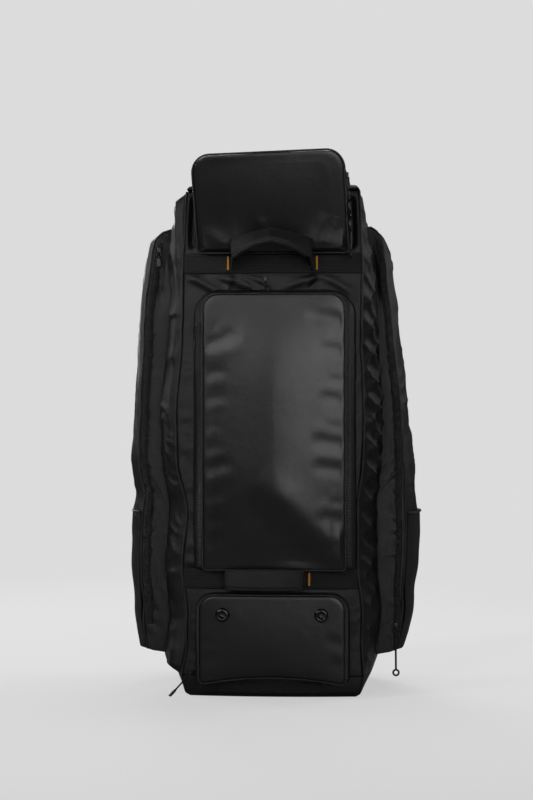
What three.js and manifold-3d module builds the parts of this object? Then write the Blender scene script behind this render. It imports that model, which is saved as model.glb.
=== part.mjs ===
// A tall cricket kit bag that stands on its base. Its main compartment is sewn from panels, with a hood
// for the helmet at the top of its front, a long centre pocket, a shoe pocket, and a bat sleeve on each side.
// Millimetres, +Z up. The bag's front faces -Y, and the origin is on the floor under the middle of the base.
import * as THREE from "three";
import { mergeVertices } from "three/addons/utils/BufferGeometryUtils.js";
import Module from "manifold-3d";

const wasm = await Module();
wasm.setup();

// Driving dimensions of the main compartment
const FRONT_WIDTH = 352; // between the two front seams
const BACK_WIDTH = 340; // between the two back seams
const BODY_DEPTH = 316; // front seams to back seams
const SIDE_BULGE = 56; // how far each side stands out past its seams
const FRONT_SAG = 10; // how far the middle of the front stands out past its seams
const BACK_SAG = 8;
const BASE_HEIGHT = 40; // height of the moulded base tray
const BASE_WALL = 5;
const CROWN = 18; // how far the top domes up over its seam
const CLOTH = 2; // wall of the nylon panels
const COATED = 4; // wall of the padded, coated panels of the pockets

// The front, stacked from the floor up
const SHOE_FOOT = 30; // floor to the shoe pocket's lower edge
const SHOE_HEIGHT = 171;
const SHOE_GAP = 12; // shoe pocket to the lower webbing
const WEB_WIDTH = 40; // both straps across the front
const WEB_THICK = 2.4;
const CENTRE_HEIGHT = 535;
const YOKE = 44; // nylon that shows between the centre pocket and the upper webbing
const HELMET_HEIGHT = 185;
const SHOULDER = 122; // upper webbing to the seam round the top
const STITCH_LINE = 1; // webbing to the pocket that is sewn on just above it

// The three front pockets. Each stands off the front, and its zip band flares to where it is sewn on.
const HELMET_STAND = 14; // at its lower edge
const HELMET_LEAN = 54; // how much further its upper edge stands out
const HELMET_TILT = 11; // how much higher its right end is
const HOOD_DEPTH = 118; // how far the hood runs back over the top
const HOOD_FLARE = 7;
const HOOD_MARGIN = 24; // a front seam to where the hood is sewn on
const HELMET_WIDTH = FRONT_WIDTH - 2 * (HOOD_MARGIN + HOOD_FLARE);
const CENTRE_STAND = 32;
const CENTRE_FLARE = 24;
const CENTRE_MARGIN = 15;
const CENTRE_WIDTH = FRONT_WIDTH - 2 * (CENTRE_MARGIN + CENTRE_FLARE);
const SHOE_STAND = 26;
const SHOE_FLARE = 12;
const SHOE_MARGIN = 23;
const SHOE_WIDTH = FRONT_WIDTH - 2 * (SHOE_MARGIN + SHOE_FLARE);
const SHOE_ARCH = 14; // how far its lower edge arches up in the middle
const PILLOW = 13; // how far a coated panel bulges in its middle

// Bat sleeves, one on each side
const SLEEVE_FOOT = 74; // floor to the sleeve's lower end
const SLEEVE_LENGTH = 856;
const SLEEVE_DEPTH = 70; // how far a full sleeve stands off the bag's side
const SLEEVE_SETBACK = 62; // front seam of the bag to the sleeve's front
const SLEEVE_RUN = 190; // sleeve's front to its rear seam
const NET_HEIGHT = 272; // height of the net pocket on its lower end
const NET_THICK = 1.2;
const HEM = 2.5; // radius of the binding along the net's top

// Straps, trim and hardware
const PIPING = 2; // radius of the piped seams
const ZIP_WIDTH = 9; // of the sleeves' zips
const ZIP_THICK = 1.6;
const GRIP_LENGTH = 160; // the padded part of both handles
const GRIP_WIDTH = 42;
const GRIP_THICK = 15;
const HIGH_RISE = 48; // how far the upper handle arches up from its webbing
const HIGH_REACH = 62; // and out
const HIGH_TILT = 50; // degrees that its middle leans
const LOW_RISE = 0;
const LOW_REACH = 26;
const LOW_TILT = 0;
const LOW_SHIFT = -15; // the lower handle sits left of the middle
const TAB_WIDTH = 5; // bright cloth tabs beside the handles
const TAB_HEIGHT = 28;
const TAB_THICK = 1.2;
const BASE_STRAP_LENGTH = 206;
const BASE_STRAP_WIDTH = 22;
const BASE_STRAP_SHIFT = -6;
const EYELET_RADIUS = 13.5;
const EYELET_HOLE = 6;
const EYELET_WALL = 2;
const EYELET_FLANGE = 2.4;
const EYELET_SPACING = 193;
const EYELET_DROP = 36; // shoe pocket's upper edge to the eyelets
const PAD_WIDTH = 62; // shoulder straps on the back
const PAD_THICK = 10;
const PAD_BOW = 30; // how far a shoulder strap bows off the back
const PAD_LENGTH = 560;
const PAD_DROP = 90; // top seam to the upper ends of the shoulder straps
const PAD_SPACING = 140; // between their upper ends
const PAD_SPREAD = 50; // how much wider they stand at their lower ends
const PAD_END = 0.4; // share of their thickness that is left at both ends
const PAD_TAPER = 0.1; // share of their length over which they thin to that
const PAD_FULLNESS = 0.8; // power of the bow's curve, under 1 for a fuller one
const PAD_STEPS = 10;
const TAIL_WIDTH = 25;
const TAIL_LENGTH = 210;
const SLIDER_WIDTH = 8; // zip sliders and what hangs from them
const SLIDER_LENGTH = 12;
const SLIDER_THICK = 4.5;
const WIRE = 1.1; // radius of the pulls' wire
const LOOP = 4.2; // radius of their rings
const PULL_GAP = 0.6; // a slider to the zip's tape
const CORD = 16; // a pull's cord or stem, from its slider's ring to its tip
const SHORT_CORD = 3;
const HELMET_CORD = 44; // on the helmet pocket's lower slider
const SHOE_CORD = 38;
const SLEEVE_CORD = 64; // on the right sleeve's lower slider
const SHOE_SWING = 58; // degrees that the shoe pocket's pull swings out from the bag
const HELMET_SLIDERS = [38, 95, 129]; // below the upper edge of the helmet pocket
const CENTRE_SLIDERS = [55, 30]; // below the centre pocket's upper edge, and left of its middle
const SHOE_SLIDER = 20; // above the shoe pocket's lower edge
const YOKE_SLIDER = 13; // left of the middle

const GAP = 0.3; // between pieces that touch

// Heights that follow from the stack
const SHOE_TOP = SHOE_FOOT + SHOE_HEIGHT;
const LOW_WEB = SHOE_TOP + SHOE_GAP + WEB_WIDTH / 2; // middle of the lower webbing
const CENTRE_FOOT = LOW_WEB + WEB_WIDTH / 2 + STITCH_LINE;
const CENTRE_TOP = CENTRE_FOOT + CENTRE_HEIGHT;
const HIGH_WEB = CENTRE_TOP + YOKE + WEB_WIDTH / 2;
const HELMET_FOOT = HIGH_WEB + WEB_WIDTH / 2 + STITCH_LINE;
const HELMET_TOP = HELMET_FOOT + HELMET_HEIGHT;
const BODY_HEIGHT = HIGH_WEB + WEB_WIDTH / 2 + SHOULDER; // floor to the seam round the top
const FRONT = -BODY_DEPTH / 2;
const SLEEVE_FRONT = FRONT + SLEEVE_SETBACK;

// The base tray, then the compartment, from the floor up. Height is a share of the tray's height and then of
// what is above it. Left and right are shares of half FRONT_WIDTH, back of half BACK_WIDTH, bulge of
// SIDE_BULGE, and front and rear of half BODY_DEPTH.
const TRAY_ROWS = [
  { height: 0.0, left: 0.93, right: 0.93, back: 0.93, bulge: 0.1, front: 0.94, rear: 0.93 },
  { height: 0.2, left: 0.985, right: 0.985, back: 0.98, bulge: 0.14, front: 0.985, rear: 0.98 },
  { height: 1.0, left: 1.02, right: 1.01, back: 1, bulge: 0.42, front: 1, rear: 1 },
];
const BODY_ROWS = [
  { height: 0.06, left: 0.97, right: 0.99, back: 1, bulge: 0.82, front: 1, rear: 1 },
  { height: 0.13, left: 0.965, right: 1, back: 1, bulge: 1, front: 1, rear: 1 },
  { height: 0.22, left: 1.01, right: 0.95, back: 1.01, bulge: 1, front: 1, rear: 1 },
  { height: 0.34, left: 0.965, right: 0.945, back: 1.01, bulge: 0.98, front: 0.99, rear: 1 },
  { height: 0.44, left: 1.07, right: 1, back: 1, bulge: 1, front: 1, rear: 1.01 },
  { height: 0.545, left: 1.085, right: 1.02, back: 1, bulge: 1, front: 1.01, rear: 1.01 },
  { height: 0.69, left: 1.02, right: 0.99, back: 1, bulge: 0.9, front: 1.01, rear: 1 },
  { height: 0.83, left: 1, right: 1, back: 0.99, bulge: 0.7, front: 1, rear: 0.99 },
  { height: 0.92, left: 0.99, right: 0.985, back: 0.98, bulge: 0.4, front: 0.99, rear: 0.98 },
  { height: 1.0, left: 0.965, right: 0.965, back: 0.95, bulge: 0.12, front: 0.97, rear: 0.95 },
];
// The dome of the top, from its seam inwards. Share is of the seam's ring and rise of CROWN.
const TOP_ROWS = [
  { share: 1.0, rise: 0 },
  { share: 0.95, rise: 0.6 },
  { share: 0.6, rise: 0.95 },
];

// A bat sleeve from its foot up. Height is a share of SLEEVE_LENGTH, left and right of SLEEVE_DEPTH.
// Its first and last rows are tucked in under the cloth of the bag.
const SLEEVE_ROWS = [
  { height: -0.014, left: -0.3, right: -0.3 },
  { height: 0.0, left: 0.88, right: 0.61 },
  { height: 0.06, left: 0.9, right: 0.69 },
  { height: 0.13, left: 0.86, right: 0.72 },
  { height: 0.2, left: 0.86, right: 0.88 },
  { height: 0.31, left: 0.94, right: 0.96 },
  { height: 0.38, left: 0.79, right: 0.88 },
  { height: 0.46, left: 0.78, right: 0.72 },
  { height: 0.56, left: 0.7, right: 0.58 },
  { height: 0.65, left: 0.74, right: 0.52 },
  { height: 0.81, left: 0.85, right: 0.41 },
  { height: 0.88, left: 0.81, right: 0.36 },
  { height: 0.965, left: 0.82, right: 0.4 },
  { height: 0.988, left: 0.6, right: 0.3 },
  { height: 1.0, left: 0.1, right: 0.08 },
  { height: 1.014, left: -0.3, right: -0.3 },
];
// Across the outside of a sleeve, from its piped corner to its rear seam, in shares of SLEEVE_RUN and of the
// row's depth
const OUTSIDE = [
  { run: 0.0, stand: 0.86 },
  { run: 0.12, stand: 0.97 },
  { run: 0.36, stand: 1.0 },
  { run: 0.64, stand: 0.92 },
  { run: 0.87, stand: 0.58 },
  { run: 1.0, stand: -0.15 },
];
// Across its front, which holds the zip, from the bag's side to the piped corner
const FRONT_FACE = [
  { run: 0.0, stand: -0.15 },
  { run: 0.0, stand: 0.4 },
  { run: 0.0, stand: 0.86 },
];
const ZIP_STAND = 0.66; // where the zip runs on that front

// Half of a handle, from its middle to where it is sewn on. Along is a share of half GRIP_LENGTH, rise and
// reach of the handle's own, lean of its tilt, and wide and thick of the grip's.
const HANDLE_ROWS = [
  { along: 0.0, rise: 1.0, reach: 1.0, lean: 1.0, wide: 1.0, thick: 1.0 },
  { along: 0.3, rise: 0.9, reach: 0.98, lean: 0.95, wide: 1.0, thick: 1.0 },
  { along: 0.58, rise: 0.77, reach: 0.9, lean: 0.75, wide: 1.0, thick: 1.0 },
  { along: 0.82, rise: 0.63, reach: 0.78, lean: 0.45, wide: 1.0, thick: 0.95 },
  { along: 0.97, rise: 0.5, reach: 0.68, lean: 0.2, wide: 0.97, thick: 0.75 },
  { along: 1.01, rise: 0.42, reach: 0.6, lean: 0.1, wide: 0.78, thick: 0.18 },
  { along: 1.04, rise: -0.08, reach: 0.22, lean: 0, wide: 0.78, thick: 0.18 },
  { along: 1.04, rise: -0.08, reach: 0, lean: 0, wide: 0.78, thick: 0.18 },
];

const material = (color, roughness, metalness = 0) =>
  new THREE.MeshStandardMaterial({ color, roughness, metalness });
const nylon = material(0x1d1d20, 0.72);
const coated = material(0x2b2b2c, 0.48);
const moulded = material(0x161617, 0.4);
const webbing = material(0x191817, 0.85);
const trim = material(0x0e0e10, 0.55);
const netting = material(0x1a1a1c, 0.9);
const bright = material(0xd69a1c, 0.7);
const metal = material(0x26282b, 0.3, 0.9);
const zip = material(0x0c0c0d, 0.5);

const bag = new THREE.Group();
const point = (x, y, z) => new THREE.Vector3(x, y, z);
const { lerp, clamp, degToRad } = THREE.MathUtils;
const range = (count) => Array.from({ length: count }, (_, i) => i);
const sumOf = (points) => points.reduce((sum, p) => sum.add(p), point(0, 0, 0));
const middleOf = (points) => sumOf(points).divideScalar(points.length);
const moved = (points, x, y, z) => points.map((p) => point(p.x + x, p.y + y, p.z + z));

// A closed three.js geometry as a solid that can be cut and joined, whichever way round it was made
function fromGeometry(source) {
  const geometry = source.clone();
  geometry.deleteAttribute("normal");
  geometry.deleteAttribute("uv");
  const merged = mergeVertices(geometry, 1e-3);
  const index = merged.index.array;
  const faces = range(index.length / 3)
    .map((i) => [index[3 * i], index[3 * i + 1], index[3 * i + 2]])
    .filter(([a, b, c]) => a !== b && b !== c && c !== a);
  const make = (turned) =>
    new wasm.Manifold(
      new wasm.Mesh({
        numProp: 3,
        vertProperties: merged.attributes.position.array,
        triVerts: new Uint32Array(faces.flatMap(([a, b, c]) => (turned ? [a, c, b] : [a, b, c]))),
      }),
    );
  const made = make(false);
  return made.volume() < 0 ? make(true) : made;
}

// A solid from its triangles, each three points
function solid(triangles) {
  const flat = triangles.flatMap((corners) => corners.flatMap((p) => p.toArray()));
  const geometry = new THREE.BufferGeometry();
  geometry.setAttribute("position", new THREE.Float32BufferAttribute(flat, 3));
  return fromGeometry(geometry);
}

// A solid as a mesh
function meshOf(made, finish) {
  const { numProp, vertProperties, triVerts } = made.getMesh();
  const positions = new Float32Array((vertProperties.length / numProp) * 3);
  for (const i of range(positions.length / 3)) {
    positions.set(vertProperties.subarray(i * numProp, i * numProp + 3), i * 3);
  }
  const geometry = new THREE.BufferGeometry();
  geometry.setAttribute("position", new THREE.BufferAttribute(positions, 3));
  geometry.setIndex(new THREE.BufferAttribute(triVerts, 1));
  geometry.computeVertexNormals();
  return new THREE.Mesh(geometry, finish);
}

// Adds a solid to the bag as a named mesh
function add(name, made, finish) {
  const piece = meshOf(made, finish);
  piece.name = name;
  bag.add(piece);
}

// Where a piece's surface is met from a place far off
function meet(piece, from, direction) {
  const [found] = new THREE.Raycaster(from, direction).intersectObject(piece);
  return { place: found.point, normal: found.face.normal };
}

// A wall between two grids of points of one size
function wall(outer, inner) {
  const triangles = [];
  const quad = (a, b, c, d) => triangles.push([a, b, c], [a, c, d]);
  const side = outer[0].length - 1;
  const top = outer.length - 1;
  for (const i of range(top)) {
    for (const j of range(side)) {
      quad(outer[i][j], outer[i][j + 1], outer[i + 1][j + 1], outer[i + 1][j]);
      quad(inner[i][j], inner[i + 1][j], inner[i + 1][j + 1], inner[i][j + 1]);
    }
    quad(outer[i][0], outer[i + 1][0], inner[i + 1][0], inner[i][0]);
    quad(outer[i][side], inner[i][side], inner[i + 1][side], outer[i + 1][side]);
  }
  for (const j of range(side)) {
    quad(outer[0][j], inner[0][j], inner[0][j + 1], outer[0][j + 1]);
    quad(outer[top][j], outer[top][j + 1], inner[top][j + 1], inner[top][j]);
  }
  return solid(triangles);
}

// A solid through rings of points, with a fan at each end, or closed on itself as a loop
function loft(rings, closed = false) {
  const triangles = [];
  const first = rings[0];
  const last = rings.at(-1);
  const ends = [middleOf(first), middleOf(last)];
  const pairs = rings.slice(1).map((ring, i) => [rings[i], ring]);
  if (closed) pairs.push([last, first]);
  for (const j of range(first.length)) {
    const k = (j + 1) % first.length;
    if (!closed) triangles.push([ends[0], first[k], first[j]], [ends[1], last[j], last[k]]);
    for (const [a, b] of pairs) triangles.push([a[j], a[k], b[k]], [a[j], b[k], b[j]]);
  }
  return solid(triangles);
}

// A body swept through stations, each with a place, a width along its across direction and a thickness
function sweep(stations, { sides = 8, square = 0.65, closed = false } = {}) {
  const count = stations.length;
  const at = (i) => stations[closed ? (i + count) % count : clamp(i, 0, count - 1)].place;
  const squared = (value) => Math.sign(value) * Math.abs(value) ** square;
  const rings = stations.map(({ place, across, width, thick }, i) => {
    const along = at(i + 1).clone().sub(at(i - 1)).normalize();
    const wide = across.clone().addScaledVector(along, -across.dot(along)).normalize();
    const out = along.clone().cross(wide);
    return range(sides).map((k) => {
      const angle = (2 * Math.PI * (k + 0.5)) / sides;
      return place
        .clone()
        .addScaledVector(wide, (width / 2) * squared(Math.cos(angle)))
        .addScaledVector(out, (thick / 2) * squared(Math.sin(angle)));
    });
  });
  return loft(rings, closed);
}

// Round piping through a list of points
function rope(points, { radius = PIPING, across = point(0, 1, 0), closed = false } = {}) {
  const stations = points.map((place) => ({ place, across, width: 2 * radius, thick: 2 * radius }));
  return sweep(stations, { sides: 4, square: 1, closed });
}

// A grid moved off its own surface, by the cross product of the way its columns run and the way its rows do
function offset(grid, distance) {
  const at = (i, j) => grid[clamp(i, 0, grid.length - 1)][clamp(j, 0, grid[0].length - 1)];
  return grid.map((row, i) =>
    row.map((p, j) => {
      const along = at(i + 1, j).clone().sub(at(i - 1, j));
      const across = at(i, j + 1).clone().sub(at(i, j - 1));
      return p.clone().addScaledVector(across.cross(along).normalize(), distance);
    }),
  );
}

// A row of a table at any value of one of its columns, by straight lines between the rows
function rowAt(rows, value, column) {
  const held = clamp(value, rows[0][column], rows.at(-1)[column]);
  const upper = Math.max(1, rows.findIndex((row) => row[column] >= held));
  const [a, b] = [rows[upper - 1], rows[upper]];
  const share = (held - a[column]) / (b[column] - a[column]);
  return Object.fromEntries(Object.keys(a).map((key) => [key, lerp(a[key], b[key], share)]));
}

// Main compartment
const SECTIONS = [
  ...TRAY_ROWS.map((row) => ({ ...row, z: row.height * BASE_HEIGHT })),
  ...BODY_ROWS.map((row) => ({ ...row, z: lerp(BASE_HEIGHT, BODY_HEIGHT, row.height) })),
];
const FACETS = { front: 8, right: 6, back: 6, left: 6 };

// A point of the compartment's wall on one of its four sides, where share runs along the side, anticlockwise
function bodyPoint(row, side, share, inset = 0) {
  const front = FRONT * row.front + inset;
  const rear = -FRONT * row.rear - inset;
  const left = (-FRONT_WIDTH / 2) * row.left + inset;
  const right = (FRONT_WIDTH / 2) * row.right - inset;
  const back = (BACK_WIDTH / 2) * row.back - inset;
  const belly = SIDE_BULGE * row.bulge * (1 - Math.abs(2 * share - 1) ** 2.4);
  const sag = 4 * share * (1 - share);
  if (side === "front") return point(lerp(left, right, share), front - FRONT_SAG * sag, row.z);
  if (side === "right") return point(lerp(right, back, share) + belly, lerp(front, rear, share), row.z);
  if (side === "back") return point(lerp(back, -back, share), rear + BACK_SAG * sag, row.z);
  return point(lerp(-back, left, share) - belly, lerp(rear, front, share), row.z);
}
const bodyRing = (row, inset = 0) =>
  Object.entries(FACETS).flatMap(([side, n]) => range(n).map((j) => bodyPoint(row, side, j / n, inset)));
const sectionAt = (z) => rowAt(SECTIONS, z, "z");

// A point of the front or back at a place across it, moved out by a distance
function onFront(x, z, out = 0) {
  const row = sectionAt(z);
  const share = (x / (FRONT_WIDTH / 2) + row.left) / (row.left + row.right);
  return point(x, bodyPoint(row, "front", clamp(share, 0, 1)).y - out, z);
}
function onBack(x, z, out = 0) {
  const row = sectionAt(z);
  const share = clamp(0.5 - x / (BACK_WIDTH * row.back), 0, 1);
  return point(x, bodyPoint(row, "back", share).y + out, z);
}
// How far a side of the bag stands from the middle, at a depth and height
function sideAt(side, y, z) {
  const row = sectionAt(z);
  const share = clamp((y - FRONT * row.front) / (-FRONT * (row.front + row.rear)), 0, 1);
  return Math.abs(bodyPoint(row, side, side === "right" ? share : 1 - share).x);
}

function domeRings(inset, lift) {
  const seam = SECTIONS.at(-1);
  return TOP_ROWS.map(({ share, rise }) =>
    bodyRing(seam, inset).map((p) => point(p.x * share, p.y * share, p.z + CROWN * rise + lift)),
  );
}
// The compartment as one block, a gap larger than it is, to trim what is sewn onto it
const block = loft([...SECTIONS.map((row) => bodyRing(row, -GAP)), ...domeRings(-GAP, GAP * 2).slice(1)]);

function addCompartment() {
  const rows = SECTIONS.slice(TRAY_ROWS.length - 1).map((row, i) => (i ? row : { ...row, z: row.z + GAP }));
  for (const [side, n] of Object.entries(FACETS)) {
    const width = side === "front" || side === "back" ? FRONT_WIDTH : BODY_DEPTH;
    const shares = range(n + 1).map((j) => clamp(j / n, GAP / width, 1 - GAP / width));
    const grid = (inset) => rows.map((row) => shares.map((share) => bodyPoint(row, side, share, inset)));
    add(`body_${side}`, wall(grid(0), grid(CLOTH)), nylon);
  }
  const dome = domeRings(CLOTH, -CLOTH);
  const under = loft([moved(dome[0], 0, 0, -BASE_WALL), moved(dome[0], 0, 0, CLOTH), ...dome.slice(1)]);
  add("body_top", loft(domeRings(0, GAP)).subtract(under), nylon);

  const rim = bodyRing(sectionAt(BASE_HEIGHT), BASE_WALL);
  const inside = loft([bodyRing(sectionAt(BASE_WALL), BASE_WALL), rim, moved(rim, 0, 0, BASE_WALL)]);
  const trayRows = SECTIONS.slice(0, TRAY_ROWS.length);
  add("base_tray", loft(trayRows.map((row) => bodyRing(row))).subtract(inside), moulded);

  const away = (PIPING + GAP) * Math.SQRT1_2;
  const seams = [
    { name: "front_left", side: "front", share: 0, x: -away, y: -away },
    { name: "front_right", side: "front", share: 1, x: away, y: -away },
    { name: "back_right", side: "back", share: 0, x: away, y: away },
    { name: "back_left", side: "back", share: 1, x: -away, y: away },
  ];
  for (const { name, side, share, x, y } of seams) {
    add(`piping_${name}`, rope(moved(rows.map((row) => bodyPoint(row, side, share)), x, y, 0)), trim);
  }
}

// Front pockets. A rounded rectangle seen from the front, anticlockwise from its lower right corner.
const ZIP_SPAN = [0.15, 0.8]; // where a pocket's zip lies on the first fold of its band
const CORNER_STEPS = 3;
const EDGE_STEPS = [4, 2]; // up each side, and across the top and foot
function outline({ left, right, foot, top, topRadius, footRadius }) {
  const corners = [
    { x: right - footRadius, z: foot + footRadius, radius: footRadius },
    { x: right - topRadius, z: top - topRadius, radius: topRadius },
    { x: left + topRadius, z: top - topRadius, radius: topRadius },
    { x: left + footRadius, z: foot + footRadius, radius: footRadius },
  ];
  const rounds = corners.map(({ x, z, radius }, i) =>
    range(CORNER_STEPS + 1).map((step) => {
      const angle = (Math.PI / 2) * (i - 1 + step / CORNER_STEPS);
      return { x: x + radius * Math.cos(angle), z: z + radius * Math.sin(angle) };
    }),
  );
  return rounds.flatMap((round, i) => {
    const [start, end] = [round.at(-1), rounds[(i + 1) % 4][0]];
    const steps = EDGE_STEPS[i % 2];
    const between = range(steps - 1).map((k) => (k + 1) / steps);
    return [...round, ...between.map((t) => ({ x: lerp(start.x, end.x, t), z: lerp(start.z, end.z, t) }))];
  });
}
// The part of such a ring that runs up one side, over the top and down the other
const overTop = (ring) =>
  ring.slice(CORNER_STEPS, 3 * (CORNER_STEPS + 1) + 2 * EDGE_STEPS[0] + EDGE_STEPS[1] - 2);

// A ring of a pocket. Share runs from its coated panel's edge, 0, back to where it is sewn on, 1.
function pocketRing(pocket, share, inset = 0) {
  const flare = pocket.flare * Math.sqrt(share);
  const ring = outline({
    left: -pocket.width / 2 - flare + inset,
    right: pocket.width / 2 + flare - inset,
    foot: pocket.foot + inset,
    top: pocket.top + flare * pocket.topFlare - pocket.topDrop * share - inset,
    topRadius: Math.max(pocket.topRadius + flare - inset, 1),
    footRadius: Math.max(pocket.footRadius - inset, 1),
  });
  return ring.map(({ x, z }) => {
    const up = clamp((z - pocket.foot) / (pocket.top - pocket.foot), 0, 1);
    const across = x / pocket.width;
    const arch = pocket.arch * Math.max(0, 1 - 4 * across ** 2) * Math.max(0, 1 - 3 * up);
    const shift = pocket.shift + pocket.skew * up * (1 - share);
    const y = lerp(pocket.front(up), FRONT + pocket.depth, share);
    return point(x + shift, y, z + pocket.tilt * across * up + arch);
  });
}
const plain = { shift: 0, skew: 0, tilt: 0, arch: 0, topDrop: 0, depth: CLOTH };
const helmet = {
  ...plain,
  width: HELMET_WIDTH, foot: HELMET_FOOT, top: HELMET_TOP, topRadius: 33, footRadius: 8,
  shift: 2, skew: -9, tilt: HELMET_TILT, topDrop: 12,
  depth: HOOD_DEPTH, flare: HOOD_FLARE, topFlare: 0, shares: [0, 0.1, 0.55, 1],
  front: (up) => FRONT - FRONT_SAG - HELMET_STAND - HELMET_LEAN * up ** 0.8,
};
const centre = {
  ...plain,
  width: CENTRE_WIDTH, foot: CENTRE_FOOT, top: CENTRE_TOP, topRadius: 30, footRadius: 4,
  shift: 4, flare: CENTRE_FLARE, topFlare: 0.55, shares: [0, 0.5, 1],
  front: (up) => FRONT - FRONT_SAG - CENTRE_STAND * clamp(0.35 + 2.4 * up, 0, 1),
};
const shoe = {
  ...plain,
  width: SHOE_WIDTH, foot: SHOE_FOOT, top: SHOE_TOP, topRadius: 28, footRadius: 10,
  arch: SHOE_ARCH, flare: SHOE_FLARE, topFlare: 0.5, shares: [0, 0.5, 1],
  front: (up) => FRONT - FRONT_SAG - SHOE_STAND * clamp(0.5 + 1.2 * up, 0, 1),
};

// The coated panel on the front of a pocket, a pillow inside the pocket's ring
function pillow(pocket) {
  const rim = pocketRing(pocket, 0);
  const middle = middleOf(rim);
  const shares = [0.42, 0.84, 1];
  const surface = (depth) =>
    shares.map((share) =>
      moved(rim.map((p) => middle.clone().lerp(p, share)), 0, depth - PILLOW * (1 - share ** 2), 0),
    );
  return loft([...surface(0), ...surface(COATED).reverse()]);
}

// The zip band from a panel's edge back to the bag. A hooded one closes behind, over the bag's top.
function zipBand(pocket, hooded) {
  const start = COATED + GAP;
  const ringAt = (share, inset) => moved(pocketRing(pocket, share, inset), 0, share ? 0 : start, 0);
  const rings = (inset) => pocket.shares.map((share) => ringAt(share, inset));
  const inner = rings(CLOTH);
  const mouth = moved(inner[0], 0, -BODY_DEPTH, 0);
  const rear = moved(inner.at(-1), 0, hooded ? -CLOTH : CLOTH, 0);
  const hollow = loft([mouth, ...inner.slice(0, -1), rear]);
  return loft(rings(0)).subtract(hollow).subtract(block);
}

// A zip that lies on the fold of a pocket's band that is next to its panel, over its top. Each facet of the
// fold is two triangles, so the zip bends where it crosses the line between them too.
function bandZip(pocket) {
  const edge = overTop(moved(pocketRing(pocket, 0), 0, COATED + GAP, 0));
  const fold = overTop(pocketRing(pocket, pocket.shares[1]));
  const grid = edge.flatMap((p, j) => {
    const ends = [fold[j], fold[j + 1]].filter(Boolean);
    return ends.map((end) => ZIP_SPAN.map((share) => p.clone().lerp(end, share)));
  });
  return wall(offset(grid, GAP + ZIP_THICK), offset(grid, GAP));
}

function addPocket(name, pocket, panel, hooded = false) {
  add(`${name}_panel`, panel, coated);
  add(`${name}_band`, zipBand(pocket, hooded), nylon);
  const edge = pocketRing(pocket, 0, -PIPING - GAP);
  add(`${name}_piping`, rope(moved(edge, 0, COATED / 2, 0), { closed: true }), trim);
  add(`${name}_zip`, bandZip(pocket), zip);
}

// An eyelet pressed through the shoe pocket's panel, and the seat that it takes there
function eyelet(panel, x) {
  const { place, normal } = meet(panel, point(x, -BODY_DEPTH, SHOE_TOP - EYELET_DROP), point(0, 1, 0));
  const turn = new THREE.Quaternion().setFromUnitVectors(point(0, 1, 0), normal);
  const put = (geometry, out) =>
    fromGeometry(geometry.translate(0, out, 0).applyQuaternion(turn).translate(place.x, place.y, place.z));
  const barrel = EYELET_HOLE + EYELET_WALL;
  const profile = [
    [EYELET_HOLE, -COATED - EYELET_WALL],
    [barrel, -COATED - EYELET_WALL],
    [barrel, 0],
    [EYELET_RADIUS, 0],
    [EYELET_RADIUS - 1, EYELET_FLANGE * 0.7],
    [EYELET_RADIUS - 4, EYELET_FLANGE],
    [EYELET_HOLE + 1, EYELET_FLANGE * 0.7],
    [EYELET_HOLE, 0],
    [EYELET_HOLE, -COATED - EYELET_WALL],
  ].map(([radius, height]) => new THREE.Vector2(radius, height));
  const ring = put(new THREE.LatheGeometry(profile, 10), 0);
  const bore = new THREE.CylinderGeometry(barrel + GAP, barrel + GAP, 6 * COATED, 10);
  const seat = new THREE.CylinderGeometry(EYELET_RADIUS + GAP, EYELET_RADIUS + GAP, 2 * COATED, 10);
  return { ring, cut: put(bore, 0).add(put(seat, COATED - GAP)) };
}

function addPockets() {
  addPocket("helmet", helmet, pillow(helmet), true);
  addPocket("centre", centre, pillow(centre));
  const bare = pillow(shoe);
  const surface = meshOf(bare, coated);
  const eyelets = [-1, 1].map((side) => eyelet(surface, (side * EYELET_SPACING) / 2));
  addPocket("shoe", shoe, eyelets.reduce((panel, { cut }) => panel.subtract(cut), bare));
  add("eyelet_left", eyelets[0].ring, metal);
  add("eyelet_right", eyelets[1].ring, metal);
}

// Flat webbing on the front or back, through rows of z and the columns of x that each row has
function ribbon(surface, columnsAt, rows, thick, out = GAP) {
  const grid = (distance) => rows.map((z) => columnsAt(z).map((x) => surface(x, z, distance)));
  return wall(grid(out + thick), grid(out));
}

function handle(middle, { rise, reach, tilt, shift }) {
  const seat = 3 * GAP + WEB_THICK;
  const half = HANDLE_ROWS.map((row) => ({ ...row, side: 1 }));
  const mirrored = HANDLE_ROWS.slice(1).map((row) => ({ ...row, side: -1 }));
  const stations = [...mirrored.reverse(), ...half].map((row) => {
    const lean = degToRad(tilt * row.lean);
    const x = shift + (row.side * row.along * GRIP_LENGTH) / 2;
    return {
      place: onFront(x, middle, seat + reach * row.reach).setZ(middle + rise * row.rise),
      across: point(0, Math.sin(lean), Math.cos(lean)),
      width: GRIP_WIDTH * row.wide,
      thick: GRIP_THICK * row.thick,
    };
  });
  return sweep(stations);
}

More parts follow.
